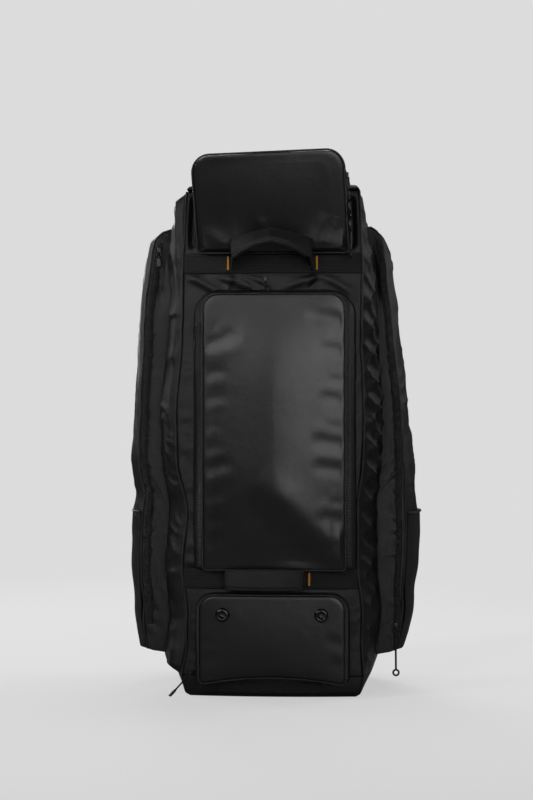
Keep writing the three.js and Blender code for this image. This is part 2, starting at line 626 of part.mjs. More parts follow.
function addFrontStraps() {
  const across = (z) => {
    const row = sectionAt(z);
    const [from, to] = [-row.left, row.right].map((share) => (FRONT_WIDTH / 2) * share);
    return range(FACETS.front + 1).map((j) => lerp(from + 1, to - 1, j / FACETS.front));
  };
  const webs = [
    { name: "upper", z: HIGH_WEB, shift: 0, rise: HIGH_RISE, reach: HIGH_REACH, tilt: HIGH_TILT },
    { name: "lower", z: LOW_WEB, shift: LOW_SHIFT, rise: LOW_RISE, reach: LOW_REACH, tilt: LOW_TILT },
  ];
  for (const { name, z, ...bend } of webs) {
    const rows = [z - WEB_WIDTH / 2, z + WEB_WIDTH / 2];
    add(`${name}_webbing`, ribbon(onFront, across, rows, WEB_THICK), webbing);
    add(`${name}_handle`, handle(z, bend), webbing);
  }
  const end = (HANDLE_ROWS.at(-1).along * GRIP_LENGTH) / 2 + TAB_WIDTH / 2 + 2;
  const tabs = [
    { name: "upper_left", x: -end, z: HIGH_WEB },
    { name: "upper_right", x: end, z: HIGH_WEB },
    { name: "lower_right", x: LOW_SHIFT + end, z: LOW_WEB },
  ];
  for (const { name, x, z } of tabs) {
    const columns = [x - TAB_WIDTH / 2, x + TAB_WIDTH / 2];
    const rows = [z - TAB_HEIGHT / 2, z + TAB_HEIGHT / 2];
    add(`tab_${name}`, ribbon(onFront, () => columns, rows, TAB_THICK, 2 * GAP + WEB_THICK), bright);
  }
  const steps = range(7).map((i) => BASE_STRAP_SHIFT + BASE_STRAP_LENGTH * (i / 6 - 0.5));
  const foot = TRAY_ROWS[1].height * BASE_HEIGHT;
  add("base_strap", ribbon(onFront, () => steps, [foot, foot + BASE_STRAP_WIDTH], WEB_THICK), webbing);
}

// Bat sleeves
const sleeveRows = SLEEVE_ROWS.map((row) => ({ ...row, z: SLEEVE_FOOT + row.height * SLEEVE_LENGTH }));
const zipRows = sleeveRows.slice(2, -3); // the rows that its zip runs through

// A point of a sleeve's outside or front. A negative depth tucks the whole row in under the bag's cloth.
function sleevePoint(side, row, { run, stand }, setback = 0) {
  const y = SLEEVE_FRONT + setback + run * SLEEVE_RUN;
  const depth = row[side] * SLEEVE_DEPTH;
  const x = sideAt(side, y, row.z) + Math.min(depth, depth * stand);
  return point(side === "right" ? x : -x, y, row.z);
}

function addSleeve(side) {
  const facing = side === "right" ? 1 : -1;
  const ordered = (row) => (side === "right" ? row : row.reverse());
  const grid = (rows, columns, setback) =>
    rows.map((row) => ordered(columns.map((column) => sleevePoint(side, row, column, setback))));
  const setback = CLOTH + 2 * GAP;
  const face = grid(sleeveRows, FRONT_FACE);
  const outside = grid(sleeveRows, OUTSIDE, setback);
  add(`sleeve_front_${side}`, wall(face, offset(face, -CLOTH)).subtract(block), nylon);
  add(`sleeve_outside_${side}`, wall(outside, offset(outside, -CLOTH)).subtract(block), nylon);

  const away = (PIPING + GAP) * Math.SQRT1_2;
  const full = sleeveRows.slice(1, -1);
  const corner = full.map((row) => sleevePoint(side, row, OUTSIDE[0]));
  add(`sleeve_piping_${side}`, rope(moved(corner, facing * away, -away, 0)), trim);

  const track = zipRows.map((row) => sleevePoint(side, row, { run: 0, stand: ZIP_STAND }));
  const edges = [-ZIP_WIDTH / 2, ZIP_WIDTH / 2];
  const lines = (distance) => track.map((p) => edges.map((x) => point(p.x + x, p.y - distance, p.z)));
  add(`sleeve_zip_${side}`, wall(lines(GAP + ZIP_THICK), lines(GAP)), zip);

  const netTop = rowAt(sleeveRows, SLEEVE_FOOT + NET_HEIGHT, "z");
  const netRows = [...full.filter((row) => row.z < netTop.z - 1), netTop];
  const base = grid(netRows, OUTSIDE.slice(0, -1), setback);
  const lift = 3 * GAP;
  add(`sleeve_net_${side}`, wall(offset(base, lift + NET_THICK), offset(base, lift)), netting);
  const hem = moved(offset(base, HEM + GAP).at(-1), 0, 0, HEM + GAP);
  add(`sleeve_hem_${side}`, rope(hem, { radius: HEM, across: point(0, 0, 1) }), trim);
}

// Shoulder straps on the back, and the webbing tails below them
function addBackStraps() {
  for (const [name, side] of [["left", -1], ["right", 1]]) {
    const upper = BODY_HEIGHT - PAD_DROP;
    const stations = range(PAD_STEPS + 1).map((i) => {
      const share = i / PAD_STEPS;
      const x = side * (PAD_SPACING / 2 + (PAD_SPREAD / 2) * share);
      const thick = PAD_THICK * clamp(lerp(PAD_END, 1, Math.min(share, 1 - share) / PAD_TAPER), 0, 1);
      const out = GAP * 2 + thick / 2 + PAD_BOW * Math.sin(Math.PI * share) ** PAD_FULLNESS;
      const place = onBack(x, upper - PAD_LENGTH * share, out);
      return { place, across: point(1, 0, 0), width: PAD_WIDTH, thick };
    });
    add(`shoulder_strap_${name}`, sweep(stations), nylon);
    const x = side * (PAD_SPACING + PAD_SPREAD) / 2;
    const top = upper - PAD_LENGTH - PAD_THICK;
    const end = top - TAIL_LENGTH;
    const rows = [end, ...SECTIONS.map(({ z }) => z).filter((z) => z > end && z < top), top];
    const columns = [x - TAIL_WIDTH / 2, x + TAIL_WIDTH / 2];
    add(`strap_tail_${name}`, ribbon(onBack, () => columns, rows, WEB_THICK), webbing);
  }
}

// A zip's slider with the pull that hangs from it, at the origin. It faces -Y and hangs down.
function pullShape(drop, tip) {
  const body = new THREE.BoxGeometry(SLIDER_WIDTH, SLIDER_THICK, SLIDER_LENGTH);
  body.translate(0, -SLIDER_THICK / 2, 0);
  const depth = -SLIDER_THICK - WIRE / 2;
  const ringHeight = -SLIDER_LENGTH / 2 - LOOP + WIRE * 2;
  const ring = (radius, z) =>
    new THREE.TorusGeometry(radius, WIRE, 3, 7).rotateX(Math.PI / 2).translate(0, depth, z);
  const top = ringHeight - LOOP;
  const stem = new THREE.CylinderGeometry(WIRE, WIRE, drop, 5)
    .rotateX(Math.PI / 2)
    .translate(0, depth, top - drop / 2 + WIRE);
  const end = top - drop;
  const tips = {
    ring: () => ring(LOOP, end - LOOP + WIRE * 2),
    ball: () => new THREE.IcosahedronGeometry(LOOP * 0.8, 0).translate(0, depth, end),
    tab: () => new THREE.BoxGeometry(SLIDER_WIDTH, WIRE * 2, 5 * LOOP).translate(0, depth, end - 2 * LOOP),
  };
  const shapes = [body, ring(LOOP, ringHeight), stem, tips[tip]()].map(fromGeometry);
  return shapes.reduce((made, shape) => made.add(shape));
}

// Puts such a pull on a piece, where a line from outside meets it. It may swing out from the piece by degrees.
function addPull(name, on, { x = 0, y = 0, z = 0, from, down = point(0, 0, -1), swing = 0, drop, tip }) {
  const start = point(x, y, z).addScaledVector(from, 2 * BODY_HEIGHT);
  const { place, normal } = meet(bag.getObjectByName(on), start, from.clone().negate());
  const inward = normal.clone().negate();
  const up = down.clone().negate().addScaledVector(normal, down.dot(normal)).normalize();
  const turn = new THREE.Matrix4().makeBasis(inward.clone().cross(up), inward, up);
  const out = PULL_GAP + (SLIDER_LENGTH / 2) * Math.sin(degToRad(swing));
  turn.setPosition(place.addScaledVector(normal, out));
  turn.multiply(new THREE.Matrix4().makeRotationX(-degToRad(swing)));
  add(name, pullShape(drop, tip).transform(turn.toArray()), metal);
}

function addPulls() {
  const front = point(0, -1, 0);
  const left = point(-1, 0, 0);
  const right = point(1, 0, 0);
  const up = point(0, 0, 1);
  const bandAt = (pocket, z) => {
    const edge = pocket.front(clamp((z - pocket.foot) / (pocket.top - pocket.foot), 0, 1));
    const fold = lerp(edge, FRONT + pocket.depth, pocket.shares[1]);
    return { y: lerp(edge + COATED + GAP, fold, (ZIP_SPAN[0] + ZIP_SPAN[1]) / 2), z };
  };
  const sleeveAt = (side, z) => {
    const row = rowAt(sleeveRows, z, "z");
    return { x: sleevePoint(side, row, { run: 0, stand: ZIP_STAND }).x, z };
  };
  const [top, side, foot] = HELMET_SLIDERS.map((drop) => bandAt(helmet, HELMET_TOP - drop));
  addPull("pull_helmet_top", "helmet_zip", { ...top, from: right, drop: CORD, tip: "tab" });
  addPull("pull_helmet_side", "helmet_zip", { ...side, from: right, drop: SHORT_CORD, tip: "ring" });
  addPull("pull_helmet_foot", "helmet_zip", { ...foot, from: right, drop: HELMET_CORD, tip: "ring" });
  const yoke = { x: -YOKE_SLIDER, z: CENTRE_TOP + YOKE - 0.7 * SLIDER_LENGTH };
  addPull("pull_yoke", "body_front", { ...yoke, from: front, drop: SHORT_CORD, tip: "ring" });
  const centreSide = bandAt(centre, CENTRE_TOP - CENTRE_SLIDERS[0]);
  const centreTop = { x: -CENTRE_SLIDERS[1], y: bandAt(centre, CENTRE_TOP).y };
  addPull("pull_centre_side", "centre_zip", { ...centreSide, from: left, drop: CORD, tip: "tab" });
  addPull("pull_centre_top", "centre_zip", { ...centreTop, from: up, down: left, drop: CORD, tip: "tab" });
  const shoeSide = bandAt(shoe, SHOE_FOOT + SHOE_SLIDER);
  const swung = { drop: SHOE_CORD, swing: SHOE_SWING, tip: "tab" };
  addPull("pull_shoe_side", "shoe_zip", { ...shoeSide, from: left, ...swung });
  const leftTop = sleeveAt("left", zipRows.at(-1).z - SLIDER_LENGTH);
  const rightFoot = sleeveAt("right", zipRows[0].z + SLIDER_LENGTH);
  addPull("pull_sleeve_left", "sleeve_zip_left", { ...leftTop, from: front, drop: SHORT_CORD, tip: "tab" });
  addPull("pull_sleeve_right", "sleeve_zip_right", { ...rightFoot, from: front, drop: SLEEVE_CORD, tip: "ring" });
}

addCompartment();
addPockets();
addFrontStraps();
addSleeve("left");
addSleeve("right");
addBackStraps();
addPulls();

export default bag;
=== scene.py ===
# %% [markdown]
# A tall cricket kit bag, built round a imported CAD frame. On the real bag almost everything is cloth: nylon
# panels sewn along piped seams, padded coated panels, webbing, zips and net. The CAD gives each piece its
# place and size. This script gives each one its folds, padding and finish.

import bmesh
import bpy
import numpy as np
from mathutils import Matrix, Vector


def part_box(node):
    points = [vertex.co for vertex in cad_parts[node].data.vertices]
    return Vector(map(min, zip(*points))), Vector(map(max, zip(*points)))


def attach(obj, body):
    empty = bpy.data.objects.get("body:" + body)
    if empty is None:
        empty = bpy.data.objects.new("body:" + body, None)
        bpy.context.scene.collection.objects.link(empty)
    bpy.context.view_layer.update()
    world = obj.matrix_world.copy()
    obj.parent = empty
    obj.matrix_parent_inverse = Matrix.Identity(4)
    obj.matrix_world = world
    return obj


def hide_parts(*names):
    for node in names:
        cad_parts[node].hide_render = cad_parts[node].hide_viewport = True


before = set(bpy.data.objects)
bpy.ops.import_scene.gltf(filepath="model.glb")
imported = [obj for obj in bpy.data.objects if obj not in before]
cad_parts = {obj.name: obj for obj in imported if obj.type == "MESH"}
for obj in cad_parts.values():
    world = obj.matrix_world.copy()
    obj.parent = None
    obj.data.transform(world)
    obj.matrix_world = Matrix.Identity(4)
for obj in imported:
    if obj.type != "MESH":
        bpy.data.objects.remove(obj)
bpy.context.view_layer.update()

# %% [markdown]
# The sizes below are in millimetres and are the CAD's, so that each surface here lies where its CAD solid
# is. Only the sleeves' foot differs: it is 10 mm higher. They come first because the folds are measured
# along them.

# %% Driving sizes, in millimetres
MM = 0.001
FRONT_WIDTH, BACK_WIDTH, BODY_DEPTH = 352, 340, 316
SIDE_BULGE, FRONT_SAG, BACK_SAG = 56, 10, 8
BASE_HEIGHT, CROWN = 40, 18
CLOTH, COATED, GAP, PIPING = 2, 4, 0.3, 2
SHOE_FOOT, SHOE_HEIGHT, SHOE_GAP = 30, 171, 12
WEB_WIDTH, WEB_THICK = 40, 2.4
CENTRE_HEIGHT, YOKE, HELMET_HEIGHT, SHOULDER = 535, 44, 185, 122
SHOE_TOP = SHOE_FOOT + SHOE_HEIGHT
LOW_WEB = SHOE_TOP + SHOE_GAP + WEB_WIDTH / 2
CENTRE_FOOT = LOW_WEB + WEB_WIDTH / 2 + 1
CENTRE_TOP = CENTRE_FOOT + CENTRE_HEIGHT
HIGH_WEB = CENTRE_TOP + YOKE + WEB_WIDTH / 2
HELMET_FOOT = HIGH_WEB + WEB_WIDTH / 2 + 1
HELMET_TOP = HELMET_FOOT + HELMET_HEIGHT
BODY_HEIGHT = HIGH_WEB + WEB_WIDTH / 2 + SHOULDER
FRONT = -BODY_DEPTH / 2
SLEEVE_FOOT, SLEEVE_LENGTH, SLEEVE_DEPTH, SLEEVE_SETBACK, SLEEVE_RUN = 84, 846, 70, 62, 190
NET_HEIGHT = 272
THIN_CLOTH, PADDED_SKIN = CLOTH * 0.6, COATED * 0.7
print("seam round the top at", BODY_HEIGHT, "mm")

# %% [markdown]
# The wall of the bag is told by a few rows from the floor up. A smooth curve through each column gives the
# shape between the rows, where the CAD has flat facets.

# %% The wall of the bag
WALL = {
    "z": (0, 0.2, 1, 1.06, 1.13, 1.22, 1.34, 1.44, 1.545, 1.69, 1.83, 1.92, 2),
    "left": (0.93, 0.985, 1.02, 0.97, 0.965, 1.01, 0.965, 1.07, 1.085, 1.02, 1, 0.99, 0.965),
    "right": (0.93, 0.985, 1.01, 0.99, 1, 0.95, 0.945, 1, 1.02, 0.99, 1, 0.985, 0.965),
    "back": (0.93, 0.98, 1, 1, 1, 1.01, 1.01, 1, 1, 1, 0.99, 0.98, 0.95),
    "bulge": (0.1, 0.14, 0.42, 0.82, 1, 1, 0.98, 1, 1, 0.9, 0.7, 0.4, 0.12),
    "front": (0.94, 0.985, 1, 1, 1, 1, 0.99, 1, 1.01, 1.01, 1, 0.99, 0.97),
    "rear": (0.93, 0.98, 1, 1, 1, 1, 1, 1.01, 1.01, 1, 0.99, 0.98, 0.95),
}
wall_rows = np.array(WALL["z"])  # from 0 to 1 up the tray and from 1 to 2 up the panels
above_tray = BASE_HEIGHT + (wall_rows - 1) * (BODY_HEIGHT - BASE_HEIGHT)
WALL_Z = np.where(wall_rows <= 1, wall_rows * BASE_HEIGHT, above_tray)


def through(value, known, heights):
    """A smooth curve through a table's rows that doesn't swing past them."""
    known, heights, value = (np.asarray(a, float) for a in (known, heights, value))
    step = np.diff(known)
    slope = np.diff(heights) / step
    rising = slope[:-1] * slope[1:]
    middle = np.where(rising > 0, 2 * rising / np.where(rising > 0, slope[:-1] + slope[1:], 1), 0)
    tangent = np.concatenate([slope[:1], middle, slope[-1:]])
    i = np.clip(np.searchsorted(known, value) - 1, 0, len(step) - 1)
    t = np.clip((value - known[i]) / step[i], 0, 1)
    start = (1 + 2 * t) * (1 - t) ** 2 * heights[i] + t * (1 - t) ** 2 * step[i] * tangent[i]
    return start + t**2 * (3 - 2 * t) * heights[i + 1] + t**2 * (t - 1) * step[i] * tangent[i + 1]


def wall_row(z):
    return {name: through(z, WALL_Z, column) for name, column in WALL.items() if name != "z"}


def mix(a, b, share):
    return a + (b - a) * share


def stack(x, y, z):
    return np.stack(np.broadcast_arrays(x, y, z), -1).astype(float)


def wall_point(side, share, z, inset=0):
    """A point of one of the bag's four sides. Share runs along it, anticlockwise seen from above."""
    row = wall_row(z)
    front = FRONT * row["front"] + inset
    rear = -FRONT * row["rear"] - inset
    left = -FRONT_WIDTH / 2 * row["left"] + inset
    right = FRONT_WIDTH / 2 * row["right"] - inset
    back = BACK_WIDTH / 2 * row["back"] - inset
    belly = SIDE_BULGE * row["bulge"] * (1 - np.abs(2 * share - 1) ** 2.4)
    sag = 4 * share * (1 - share)
    if side == "front":
        return stack(mix(left, right, share), front - FRONT_SAG * sag, z)
    if side == "right":
        return stack(mix(right, back, share) + belly, mix(front, rear, share), z)
    if side == "back":
        return stack(mix(back, -back, share), rear + BACK_SAG * sag, z)
    return stack(mix(-back, left, share) - belly, mix(rear, front, share), z)


def on_front(x, z, out=0):
    row = wall_row(z)
    share = np.clip((x / (FRONT_WIDTH / 2) + row["left"]) / (row["left"] + row["right"]), 0, 1)
    return stack(x, wall_point("front", share, z)[..., 1] - out, z)


def on_back(x, z, out=0):
    share = np.clip(0.5 - x / (BACK_WIDTH * wall_row(z)["back"]), 0, 1)
    return stack(x, wall_point("back", share, z)[..., 1] + out, z)


def side_reach(side, y, z):
    row = wall_row(z)
    share = np.clip((y - FRONT * row["front"]) / (-FRONT * (row["front"] + row["rear"])), 0, 1)
    return np.abs(wall_point(side, share if side == "right" else 1 - share, z)[..., 0])


# %% [markdown]
# Cloth never lies flat. Two things are added to every panel: soft random swells, and creases with a sharp
# crest. Both come from one noise that is smooth between the corners of a lattice. Single folds that the eye
# picks out are listed one by one, each from one point to another.

# %% Noise, creases and folds
LATTICE, SCATTER = (12.9898, 78.233), 43758.5453  # odd numbers, so that no two corners are alike


def noise(u, v, seed=0):
    """Smooth noise from -1 to 1 with one swell for each unit of u and v."""
    u, v = np.broadcast_arrays(np.asarray(u, float) + 7.3 * seed, np.asarray(v, float) - 3.1 * seed)
    iu, iv = np.floor(u), np.floor(v)
    fu, fv = u - iu, v - iv
    fu, fv = fu * fu * (3 - 2 * fu), fv * fv * (3 - 2 * fv)
    total = 0
    for du in (0, 1):
        for dv in (0, 1):
            h = np.sin((iu + du) * LATTICE[0] + (iv + dv) * LATTICE[1] + seed) * SCATTER
            total = total + (2 * (h - np.floor(h)) - 1) * (fu if du else 1 - fu) * (fv if dv else 1 - fv)
    return total


def creases(u, v, length, width, turn=0, seed=0):
    """Creases about so long and far apart in millimetres, turned by degrees, from 0 to 1 at their crests."""
    a = np.radians(turn)
    along = (u * np.cos(a) + v * np.sin(a)) / length
    across = (v * np.cos(a) - u * np.sin(a)) / width
    bent = across + 0.8 * noise(along * 2.1, across * 0.5, seed + 5)
    broken = 0.5 + 0.5 * noise(along * 1.7, across * 0.7, seed + 9)
    return (1.07 - np.sqrt(noise(along, bent, seed) ** 2 + 0.005)) ** 3 * broken


def laid_folds(u, v, folds):
    """Folds from (u0, v0) to (u1, v1), each so wide and so high, with a hollow along its lower side."""
    total = np.zeros(np.broadcast(u, v).shape)
    for u0, v0, u1, v1, wide, high in folds:
        run = np.hypot(u1 - u0, v1 - v0)
        du, dv = (u1 - u0) / run, (v1 - v0) / run
        along = ((u - u0) * du + (v - v0) * dv) / run
        off = ((v - v0) * du - (u - u0) * dv) / wide
        fade = np.clip(4 * along, 0, 1) * np.clip(4 * (1 - along), 0, 1)
        total += high * fade * (np.exp(-(off**2)) - 0.6 * np.exp(-((off + 1.5) ** 2)))
    return total


def near_edge(share, reach):
    """1 at both edges of a piece, and 0 from so far inside them."""
    return np.clip(1 - np.minimum(share, 1 - share) / reach, 0, 1)


# %% [markdown]
# Each piece starts as a flat grid that a bmesh operator makes, and its vertices are moved to where the
# cloth is. The grid keeps a UV map in metres, so that ribs and stitches follow the piece.

# %% Pieces from grids
WELD, MIDDLE_WELD = 1e-7, 0.0006  # metres within which vertices become one, along seams and at a middle point


def add_grid(bm, points, ring=False, caps=False):
    """Adds a grid of points, rows by columns, in millimetres. A ring's last column is its first."""
    rows, columns = points.shape[:2]
    across = np.concatenate([[0], np.cumsum(np.linalg.norm(np.diff(points, axis=1), axis=2).mean(0))])
    along = np.concatenate([[0], np.cumsum(np.linalg.norm(np.diff(points, axis=0), axis=2).mean(1))])
    uv = bm.loops.layers.uv.verify()
    made = bmesh.ops.create_grid(bm, x_segments=columns - 1, y_segments=rows - 1, size=1)["verts"]
    for vert in made:
        j = round((vert.co.x + 1) / 2 * (columns - 1))
        i = round((vert.co.y + 1) / 2 * (rows - 1))
        vert.co = points[i, j] * MM
        for loop in vert.link_loops:
            loop[uv].uv = (across[j] * MM, along[i] * MM)
    if caps:
        bmesh.ops.remove_doubles(bm, verts=made, dist=WELD)
        ends = [e for e in bm.edges if e.is_valid and e.is_boundary]
        bmesh.ops.holes_fill(bm, edges=ends, sides=0)
    elif ring:
        bmesh.ops.remove_doubles(bm, verts=made, dist=WELD)


def piece(name, bm, material, slot, replaces, away_from=None, thick=0, fill=None, sharp=None):
    """Finishes a mesh as a piece of the bag. An open sheet faces away from a point, in millimetres."""
    if away_from is None:
        bmesh.ops.recalc_face_normals(bm, faces=bm.faces)
    else:
        inside = Vector(away_from) * MM
        bm.normal_update()
        if sum(f.normal.dot(f.calc_center_median() - inside) * f.calc_area() for f in bm.faces) < 0:
            bmesh.ops.reverse_faces(bm, faces=bm.faces)
    mesh = bpy.data.meshes.new(name)
    bm.to_mesh(mesh)
    bm.free()
    mesh.shade_smooth()
    if sharp is not None:
        mesh.set_sharp_from_angle(angle=np.radians(sharp))
    obj = bpy.data.objects.new(name, mesh)
    bpy.context.collection.objects.link(obj)
    mesh.materials.append(material)
    if thick:
        wall = obj.modifiers.new("Thickness", "SOLIDIFY")
        wall.thickness = thick * MM
        wall.offset = -1
    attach(obj, "root")
    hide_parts(replaces)
    print(name, len(mesh.polygons), "faces")
    return obj


def sheet_piece(name, points, material, slot, **more):
    bm = bmesh.new()
    add_grid(bm, points)
    return piece(name, bm, material, slot, **more)


STITCH_PLACE, STITCH_WIDTH = 0.78, 0.07  # shares of half a strap's width


def rings_along(path, wide, thick, across, sides=12, square=1.0, closed=False, groove=0):
    """Rings round a path, as a grid's rows. Across is the way of its width. A groove marks its stitches."""
    path = np.asarray(path, float)
    along = np.gradient(path, axis=0)
    if closed:
        along = np.roll(path, -1, 0) - np.roll(path, 1, 0)
        along[0] = along[-1] = path[1] - path[-2]
    along /= np.linalg.norm(along, axis=1, keepdims=True)
    across = np.broadcast_to(np.asarray(across, float), path.shape)
    w = across - along * (across * along).sum(1, keepdims=True)
    w /= np.linalg.norm(w, axis=1, keepdims=True)
    out = np.cross(along, w)
    angle = np.linspace(0, 2 * np.pi, sides + 1)
    c = np.sign(np.cos(angle)) * np.abs(np.cos(angle)) ** square
    stitched = 1 - groove * np.exp(-(((np.abs(c) - STITCH_PLACE) / STITCH_WIDTH) ** 2))
    s = np.sign(np.sin(angle)) * np.abs(np.sin(angle)) ** square * stitched
    wide, thick = (np.broadcast_to(np.asarray(a, float), len(path))[:, None, None] / 2 for a in (wide, thick))
    return path[:, None] + wide * c[None, :, None] * w[:, None] + thick * s[None, :, None] * out[:, None]


def rope_piece(name, path, radius, material, slot, across=(0, 1, 0), closed=False, **more):
    bm = bmesh.new()
    grid = rings_along(path, 2 * radius, 2 * radius, across, closed=closed)
    add_grid(bm, grid, ring=True, caps=not closed)
    if closed:
        bmesh.ops.remove_doubles(bm, verts=bm.verts, dist=WELD)
    return piece(name, bm, material, slot, **more)


# %% [markdown]
# The camera stands a little to the right of the bag's middle, level with it, about 3.3 m from its front, as
# a photographer with a short telephoto lens would. The floor fades into the grey of the room, so that no
# line shows where paper and wall meet. Two softboxes in front give the coated panels their broad upright
# highlights, and five more at the sides, above and behind light the edges of the cloth.

# %% Camera, floor and lights
def set_inputs(node, values):
    for key, value in values.items():
        node.inputs[key].default_value = value


def put(tree, kind, inputs=None, **settings):
    """A new node in a tree, with its settings and its inputs."""
    made = tree.nodes.new(kind)
    for key, value in settings.items():
        setattr(made, key, value)
    set_inputs(made, inputs or {})
    return made


def connect(tree, *pairs):
    for source, target in pairs:
        tree.links.new(source, target)


camera_data = bpy.data.cameras.new("camera")
camera_data.sensor_width = 36
camera_data.lens = 76.5
camera = bpy.data.objects.new("camera", camera_data)
bpy.context.collection.objects.link(camera)
camera.location = (0.163, -3.5, 0.584)
camera.rotation_euler = (np.radians(90), 0, np.radians(3))
bpy.context.scene.camera = camera
bpy.context.scene.view_settings.view_transform = "Standard"

FLOOR_RADIUS, FADE_START, FADE_END, FLOOR_GREY, FLOOR_GLOW = 6.0, 0.9, 2.4, 0.42, 0.505
WHITE = (1, 1, 1, 1)
bm = bmesh.new()
bmesh.ops.create_circle(bm, cap_ends=True, segments=96, radius=FLOOR_RADIUS)
bmesh.ops.translate(bm, vec=(0, 0, -0.0005), verts=bm.verts)
floor_mesh = bpy.data.meshes.new("floor")
bm.to_mesh(floor_mesh)
bm.free()
floor = bpy.data.objects.new("floor", floor_mesh)
bpy.context.collection.objects.link(floor)
paper = bpy.data.materials.new("paper")
paper.use_nodes = True
paper_tree = paper.node_tree
paper_shader = paper_tree.nodes["Principled BSDF"]
set_inputs(paper_shader, {
    "Base Color": (FLOOR_GREY, FLOOR_GREY, FLOOR_GREY, 1),
    "Roughness": 1,
    "Specular IOR Level": 0,
    "Emission Color": WHITE,
})
spot = put(paper_tree, "ShaderNodeTexCoord")
distance = put(paper_tree, "ShaderNodeVectorMath", operation="LENGTH")
reach = {"From Min": FADE_START, "From Max": FADE_END}
fade = put(paper_tree, "ShaderNodeMapRange", reach, interpolation_type="SMOOTHSTEP")
clear = put(paper_tree, "ShaderNodeBsdfTransparent")
both = put(paper_tree, "ShaderNodeMixShader")
direct = put(paper_tree, "ShaderNodeLightPath")
glow = put(paper_tree, "ShaderNodeMath", {1: FLOOR_GLOW}, operation="MULTIPLY")
connect(
    paper_tree,
    (direct.outputs["Is Camera Ray"], glow.inputs[0]),
    (glow.outputs[0], paper_shader.inputs["Emission Strength"]),
    (spot.outputs["Object"], distance.inputs[0]),
    (distance.outputs["Value"], fade.inputs["Value"]),
    (fade.outputs["Result"], both.inputs[0]),
    (paper_shader.outputs[0], both.inputs[1]),
    (clear.outputs[0], both.inputs[2]),
    (both.outputs[0], paper_tree.nodes["Material Output"].inputs["Surface"]),
)
floor_mesh.materials.append(paper)


def softbox(name, place, aim, size, watts, spread=180):
    data = bpy.data.lights.new(name, "AREA")
    data.shape = "RECTANGLE"
    data.size, data.size_y = size
    data.energy = watts
    data.spread = np.radians(spread)
    lamp = bpy.data.objects.new(name, data)
    lamp.location = place
    lamp.rotation_euler = (Vector(aim) - Vector(place)).to_track_quat("-Z", "Y").to_euler()
    bpy.context.collection.objects.link(lamp)


softbox("right of the camera", (0.98, -3.62, 1.35), (0, 0, 1.0), (1.75, 2.1), 5.5, 60)
softbox("left of the camera", (-1.25, -3.4, 1.8), (0, 0, 1.0), (0.5, 1.4), 2.5, 60)
softbox("left", (-2.1, -1.5, 1.9), (0, 0, 1.1), (0.5, 1.2), 3.2, 70)
softbox("left edge", (-2.3, 0.9, 1.5), (-0.2, 0, 0.8), (1.2, 1.2), 11)
softbox("right edge", (2.3, 0.9, 1.5), (0.2, 0, 0.8), (1.2, 1.2), 9)
softbox("top", (0.3, 0.5, 2.9), (0, 0, 0.6), (1.6, 1.0), 18)
softbox("behind", (-1.0, 2.9, 1.5), (0, 0, 0.6), (1.2, 1.6), 26)
PAPER_GREY, ROOM_LIGHT = 0.716, 0.03
world = bpy.data.worlds.new("studio")
bpy.context.scene.world = world
world.use_nodes = True
sky = world.node_tree
room = sky.nodes["Background"]
set_inputs(room, {"Color": WHITE, "Strength": ROOM_LIGHT})
wall = put(sky, "ShaderNodeBackground", {"Color": (PAPER_GREY, PAPER_GREY, PAPER_GREY, 1)})
seen = put(sky, "ShaderNodeLightPath")
choose = put(sky, "ShaderNodeMixShader")
connect(
    sky,
    (seen.outputs["Is Camera Ray"], choose.inputs[0]),
    (room.outputs[0], choose.inputs[1]),
    (wall.outputs[0], choose.inputs[2]),
    (choose.outputs[0], sky.nodes["World Output"].inputs["Surface"]),
)
print("camera at", tuple(camera.location))

# %% [markdown]
# The finishes share a few effects: woven threads, creases too small to model, pebbled grain and ribs. Each
# effect is a node group, made once. A group gives out only a height or a tone, and the shader stays in its
# material.

# %% Shared effects
def effect(name, sizes):
    """An empty node group that takes a vector and some sizes and gives out a height from 0 to 1."""
    group = bpy.data.node_groups.new(name, "ShaderNodeTree")
    group.interface.new_socket("Vector", in_out="INPUT", socket_type="NodeSocketVector")
    for label, value in sizes.items():
        socket = group.interface.new_socket(label, in_out="INPUT", socket_type="NodeSocketFloat")
        socket.default_value = value
    group.interface.new_socket("Height", in_out="OUTPUT", socket_type="NodeSocketFloat")
    return group, group.nodes.new("NodeGroupInput"), group.nodes.new("NodeGroupOutput")


def waves(group, source, axis, pitch):
    """Waves of a pitch in metres along one axis of a vector, from -1 to 1."""
    split = put(group, "ShaderNodeSeparateXYZ")
    group.links.new(source, split.inputs[0])
    turns = put(group, "ShaderNodeMath", operation="DIVIDE")
    group.links.new(split.outputs[axis], turns.inputs[0])
    group.links.new(pitch, turns.inputs[1])
    full = put(group, "ShaderNodeMath", operation="MULTIPLY", inputs={1: 2 * np.pi})
    group.links.new(turns.outputs[0], full.inputs[0])
    wave = put(group, "ShaderNodeMath", operation="SINE")
    group.links.new(full.outputs[0], wave.inputs[0])
    return wave.outputs[0]


def combine(group, operation, a, b, out=None):
    made = put(group, "ShaderNodeMath", operation=operation)
    for k, value in enumerate((a, b)):
        if isinstance(value, (int, float)):
            made.inputs[k].default_value = value
        else:
            group.links.new(value, made.inputs[k])
    if out is not None:
        group.links.new(made.outputs[0], out)
    return made.outputs[0]


weave, weave_in, weave_out = effect("weave", {"Thread": 0.0009})
warp = waves(weave, weave_in.outputs["Vector"], 0, weave_in.outputs["Thread"])
weft = waves(weave, weave_in.outputs["Vector"], 1, weave_in.outputs["Thread"])
crossing = combine(weave, "MULTIPLY", warp, weft)
combine(weave, "MULTIPLY_ADD", crossing, 0.5, weave_out.inputs["Height"])

ribs, ribs_in, ribs_out = effect("ribs", {"Pitch": 0.003})
rib = waves(ribs, ribs_in.outputs["Vector"], 1, ribs_in.outputs["Pitch"])
combine(ribs, "MULTIPLY_ADD", rib, 0.5, ribs_out.inputs["Height"])


